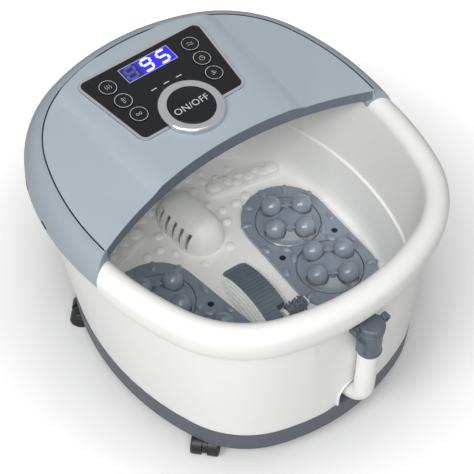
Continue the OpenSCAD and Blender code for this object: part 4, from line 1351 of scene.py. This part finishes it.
@dataclass
class PedicureBridge:
    """Fine nubs on the left flank of the pedicure bridge."""

    x: float = -3.0
    y: float = -38.0
    turn: float = -4.0
    floor: float = 71.0
    rise: float = 13.0
    radius: float = 84.385
    brush_half: float = 14.0
    flank: float = 14.5
    shoulder: float = 5.5
    foot: float = 15.0
    pitch: float = 2.9
    rows: int = 5
    row_start: float = 1.4
    row_pitch: float = 2.35
    row_half: int = 17
    clear: float = 0.8
    sunk: float = 0.2
    nub: Point3 = (1.15, 1.15, 1.0)

    def flank_radius(self, across: float) -> tuple[float, float]:
        """Gives the radius of the left flank and its slope.

        Args:
            across: Distance from the edge of the brush.

        Returns:
            The radius about the arch's axis, and how steeply it falls in radians.
        """
        half = self.flank / 2.0
        if across < half:
            return self.radius - self.shoulder * across / half, math.atan2(self.shoulder, half)
        fall = (self.foot - self.shoulder) / half
        return self.radius - self.shoulder - fall * (across - half), math.atan(fall)

    def build(self) -> None:
        """Sets the nubs in rows along the flank."""
        axis_z = self.floor + self.rise - self.radius
        turned = Matrix.Rotation(math.radians(self.turn), 4, "Z")
        way = Matrix.Translation((self.x, self.y, 0.0)) @ turned
        spots = []
        for row in range(self.rows):
            across = self.row_start + row * self.row_pitch
            r, slope = self.flank_radius(across)
            step = self.pitch / r
            for k in range(-self.row_half, self.row_half + 1):
                angle = step * (k + 0.5 * (row % 2))
                z = axis_z + r * math.cos(angle)
                if z < self.floor + self.clear:
                    continue
                off = (-self.brush_half - across, r * math.sin(angle), z - self.sunk)
                place = way @ Vector(off)
                lean = way.to_3x3() @ Euler((-angle, -slope, 0.0), "YXZ").to_matrix()
                spots.append(Spot(tuple(place), tuple(lean.to_euler()), self.nub))
        maker = Scatter("bridge_nubs", dome(3, 10), Slot.WHITE.finish)
        settle(maker.make(spots), "basin", Slot.WHITE)


@dataclass
class Drain:
    """Beads round the collar of the swinging drain pipe."""

    y: float = -190.4
    radius: float = 11.0
    bead: float = 0.9
    sunk: float = 0.3
    foot: Point2 = (144.8, 3.6)
    head: Point2 = (175.0, 2.4)

    def build(self) -> None:
        """Turns a bead at the foot and under the head of the collar."""
        for label, (z, width) in (("foot", self.foot), ("head", self.head)):
            half = width / 2.0
            section = [(self.radius - self.sunk, -half)]
            section += [
                (self.radius + self.bead * math.sin(math.radians(a)), -half * math.cos(math.radians(a)))
                for a in range(15, 166, 15)
            ]
            section.append((self.radius - self.sunk, half))
            points, faces = revolve(section)
            moved = [(px, py + self.y, pz + z) for px, py, pz in points]
            made = solid(f"drain_collar_bead_{label}", moved, faces, DRAIN_SLATE, 50.0)
            settle(made, "drain_arm", Slot.FITTING)


@dataclass
class Body:
    """The mouldings, as smooth copies of their solids."""

    smooth: float = 34.0
    # The outer shell, the drain elbow and the cover border wear darker copies of their slot's colour,
    # painted shade; the drain pieces wear their own slate.
    own: dict[str, Finish] = field(
        default_factory=lambda: {
            "outer_shell": SHELL_WHITE_SHADED,
            "cover_border": BORDER_GREY_SHADED,
            "drain_elbow": SHELL_WHITE_SHADED,
            "drain_collar": DRAIN_SLATE,
            "drain_cap": DRAIN_SLATE,
            "drain_clip": DRAIN_SLATE,
        }
    )

    def build(self) -> None:
        """Gives every solid a smooth copy with the finish of its slot."""
        carried = frame["record"]["behaviour"]["bodies"]
        bodies = {node: body for body, nodes in carried.items() for node in nodes}
        slots = {slot.label: slot for slot in Slot}
        for sub in frame["record"]["subparts"]:
            node = sub["node"]
            slot = slots[sub["material_slot"]]
            source = frame["nodes"][node]
            source.data.materials.clear()
            finish = self.own.get(node, slot.finish)
            source.data.materials.append(finish.material())
            mesh = source.data.copy()
            mesh.name = node + "_moulding"
            self.merge(mesh)
            settle(piece_of(node + "_moulding", mesh, finish, self.smooth), bodies[node], slot, node)

    def merge(self, mesh: bpy.types.Mesh) -> None:
        """Joins the loose triangles of a copied solid.

        Args:
            mesh: Copy of a solid's mesh.
        """
        if "custom_normal" in mesh.attributes:
            mesh.attributes.remove(mesh.attributes["custom_normal"])
        work = bmesh.new()
        work.from_mesh(mesh)
        bmesh.ops.remove_doubles(work, verts=work.verts, dist=2e-6)
        work.to_mesh(mesh)
        work.free()


@dataclass(frozen=True)
class Lamp:
    """A soft square lamp that faces the basin: place and side in metres, power in watts."""

    name: str
    place: Point3
    side: float
    power: float


@dataclass
class Studio:
    """Camera, floor, light and white backdrop."""

    camera_at: Point3 = (-550.227, -654.252, 1137.673)
    camera_back: Point3 = (-0.41596, -0.49431, 0.76331)
    camera_right: Point3 = (0.77163, -0.63601, 0.00862)
    lens: float = 100.985
    floor_half: float = 6.0
    floor_seen: float = 0.95
    floor_bounce: float = 0.75
    fade_from: Point2 = (0.2, 0.0)
    fade_to: Point2 = (0.5, 0.7)
    aim: Point3 = (0.0, 0.0, 0.15)
    surround: float = 0.2
    surround_gloss: float = 0.6
    lamps: tuple[Lamp, ...] = (
        Lamp("lamp_key", (-0.85, -1.1, 1.7), 1.0, 19.5),
        Lamp("lamp_over", (0.0, -0.45, 2.2), 1.4, 6.5),
        Lamp("lamp_left", (-1.65, -0.4, 1.5), 0.8, 17.0),
    )

    def build(self) -> None:
        """Sets up everything round the object."""
        self.camera()
        self.floor()
        for lamp in self.lamps:
            self.hang(lamp)
        self.world()
        bpy.context.scene.view_settings.view_transform = "Standard"

    def camera(self) -> None:
        """Puts the camera where the photograph was taken from."""
        data = bpy.data.cameras.new("camera")
        data.sensor_width = 36.0
        data.lens = self.lens
        data.clip_end = 50.0
        made = bpy.data.objects.new("camera", data)
        bpy.context.scene.collection.objects.link(made)
        back = Vector(self.camera_back).normalized()
        right = Vector(self.camera_right).normalized()
        up = back.cross(right)
        turn = Matrix((right, up, back)).transposed().to_4x4()
        made.matrix_world = Matrix.Translation(Vector(self.camera_at) * MM) @ turn
        bpy.context.scene.camera = made

    def floor(self) -> None:
        """Lays the pale floor, which keeps the shadow."""
        mesh = bpy.data.meshes.new("floor")
        s = self.floor_half
        mesh.from_pydata([(-s, -s, 0), (s, -s, 0), (s, s, 0), (-s, s, 0)], [], [(0, 1, 2, 3)])
        made = bpy.data.objects.new("floor", mesh)
        bpy.context.scene.collection.objects.link(made)
        material = bpy.data.materials.new("floor_pale")
        material.use_nodes = True
        tree = Nodes(material.node_tree)
        dull = tree.add("ShaderNodeBsdfDiffuse")
        dull.inputs["Color"].default_value = (self.floor_bounce,) * 3 + (1.0,)
        pale = tree.add("ShaderNodeBsdfDiffuse")
        pale.inputs["Color"].default_value = (self.floor_seen,) * 3 + (1.0,)
        spot = tree.add("ShaderNodeTexCoord")
        away = tree.add("ShaderNodeVectorMath")
        away.operation = "LENGTH"
        tree.join(spot.outputs["Object"], away.inputs[0])
        fade = tree.add("ShaderNodeMapRange")
        for end, (reach, level) in (("Min", self.fade_from), ("Max", self.fade_to)):
            fade.inputs["From " + end].default_value = reach
            fade.inputs["To " + end].default_value = level
        tree.join(away.outputs["Value"], fade.inputs["Value"])
        lift = tree.add("ShaderNodeEmission")
        tree.join(fade.outputs["Result"], lift.inputs["Strength"])
        both = tree.add("ShaderNodeAddShader")
        tree.join(pale.outputs[0], both.inputs[0])
        tree.join(lift.outputs[0], both.inputs[1])
        path = tree.add("ShaderNodeLightPath")
        seen = tree.add("ShaderNodeMixShader")
        tree.join(path.outputs["Is Camera Ray"], seen.inputs[0])
        tree.join(dull.outputs[0], seen.inputs[1])
        tree.join(both.outputs[0], seen.inputs[2])
        output = tree.add("ShaderNodeOutputMaterial")
        tree.join(seen.outputs[0], output.inputs["Surface"])
        mesh.materials.append(material)

    def hang(self, lamp: Lamp) -> None:
        """Hangs a lamp so that it faces the basin.

        Args:
            lamp: The lamp.
        """
        data = bpy.data.lights.new(lamp.name, "AREA")
        data.shape = "SQUARE"
        data.size = lamp.side
        data.energy = lamp.power
        made = bpy.data.objects.new(lamp.name, data)
        bpy.context.scene.collection.objects.link(made)
        made.location = lamp.place
        aim = Vector(self.aim) - Vector(lamp.place)
        made.rotation_euler = aim.to_track_quat("-Z", "Y").to_euler()

    def world(self) -> None:
        """Gives an even pale surround, brighter in reflections and white to the camera."""
        world = bpy.data.worlds.new("surround")
        bpy.context.scene.world = world
        world.use_nodes = True
        tree = Nodes(world.node_tree)
        even, sheen, white = (tree.add("ShaderNodeBackground") for _ in range(3))
        for light, level in ((even, self.surround), (sheen, self.surround_gloss), (white, 1.0)):
            light.inputs["Color"].default_value = (1.0, 1.0, 1.0, 1.0)
            light.inputs["Strength"].default_value = level
        path = tree.add("ShaderNodeLightPath")
        mirrored = tree.add("ShaderNodeMixShader")
        tree.join(path.outputs["Is Glossy Ray"], mirrored.inputs[0])
        tree.join(even.outputs[0], mirrored.inputs[1])
        tree.join(sheen.outputs[0], mirrored.inputs[2])
        mix = tree.add("ShaderNodeMixShader")
        tree.join(path.outputs["Is Camera Ray"], mix.inputs[0])
        tree.join(mirrored.outputs[0], mix.inputs[1])
        tree.join(white.outputs[0], mix.inputs[2])
        output = tree.add("ShaderNodeOutputWorld")
        tree.join(mix.outputs[0], output.inputs["Surface"])


def main() -> None:
    """Builds the studio and every sub-assembly in order."""
    logging.basicConfig(level=logging.INFO, format="%(message)s")
    Studio().build()
    Body().build()
    cover = Cover()
    cover.build()
    ControlPanel(cover).build()
    for side in (-1, 1):
        FootPlate(side).build()
    TubFloor().build()
    PedicureBridge().build()
    Drain().build()


if __name__ == "__main__":
    main()
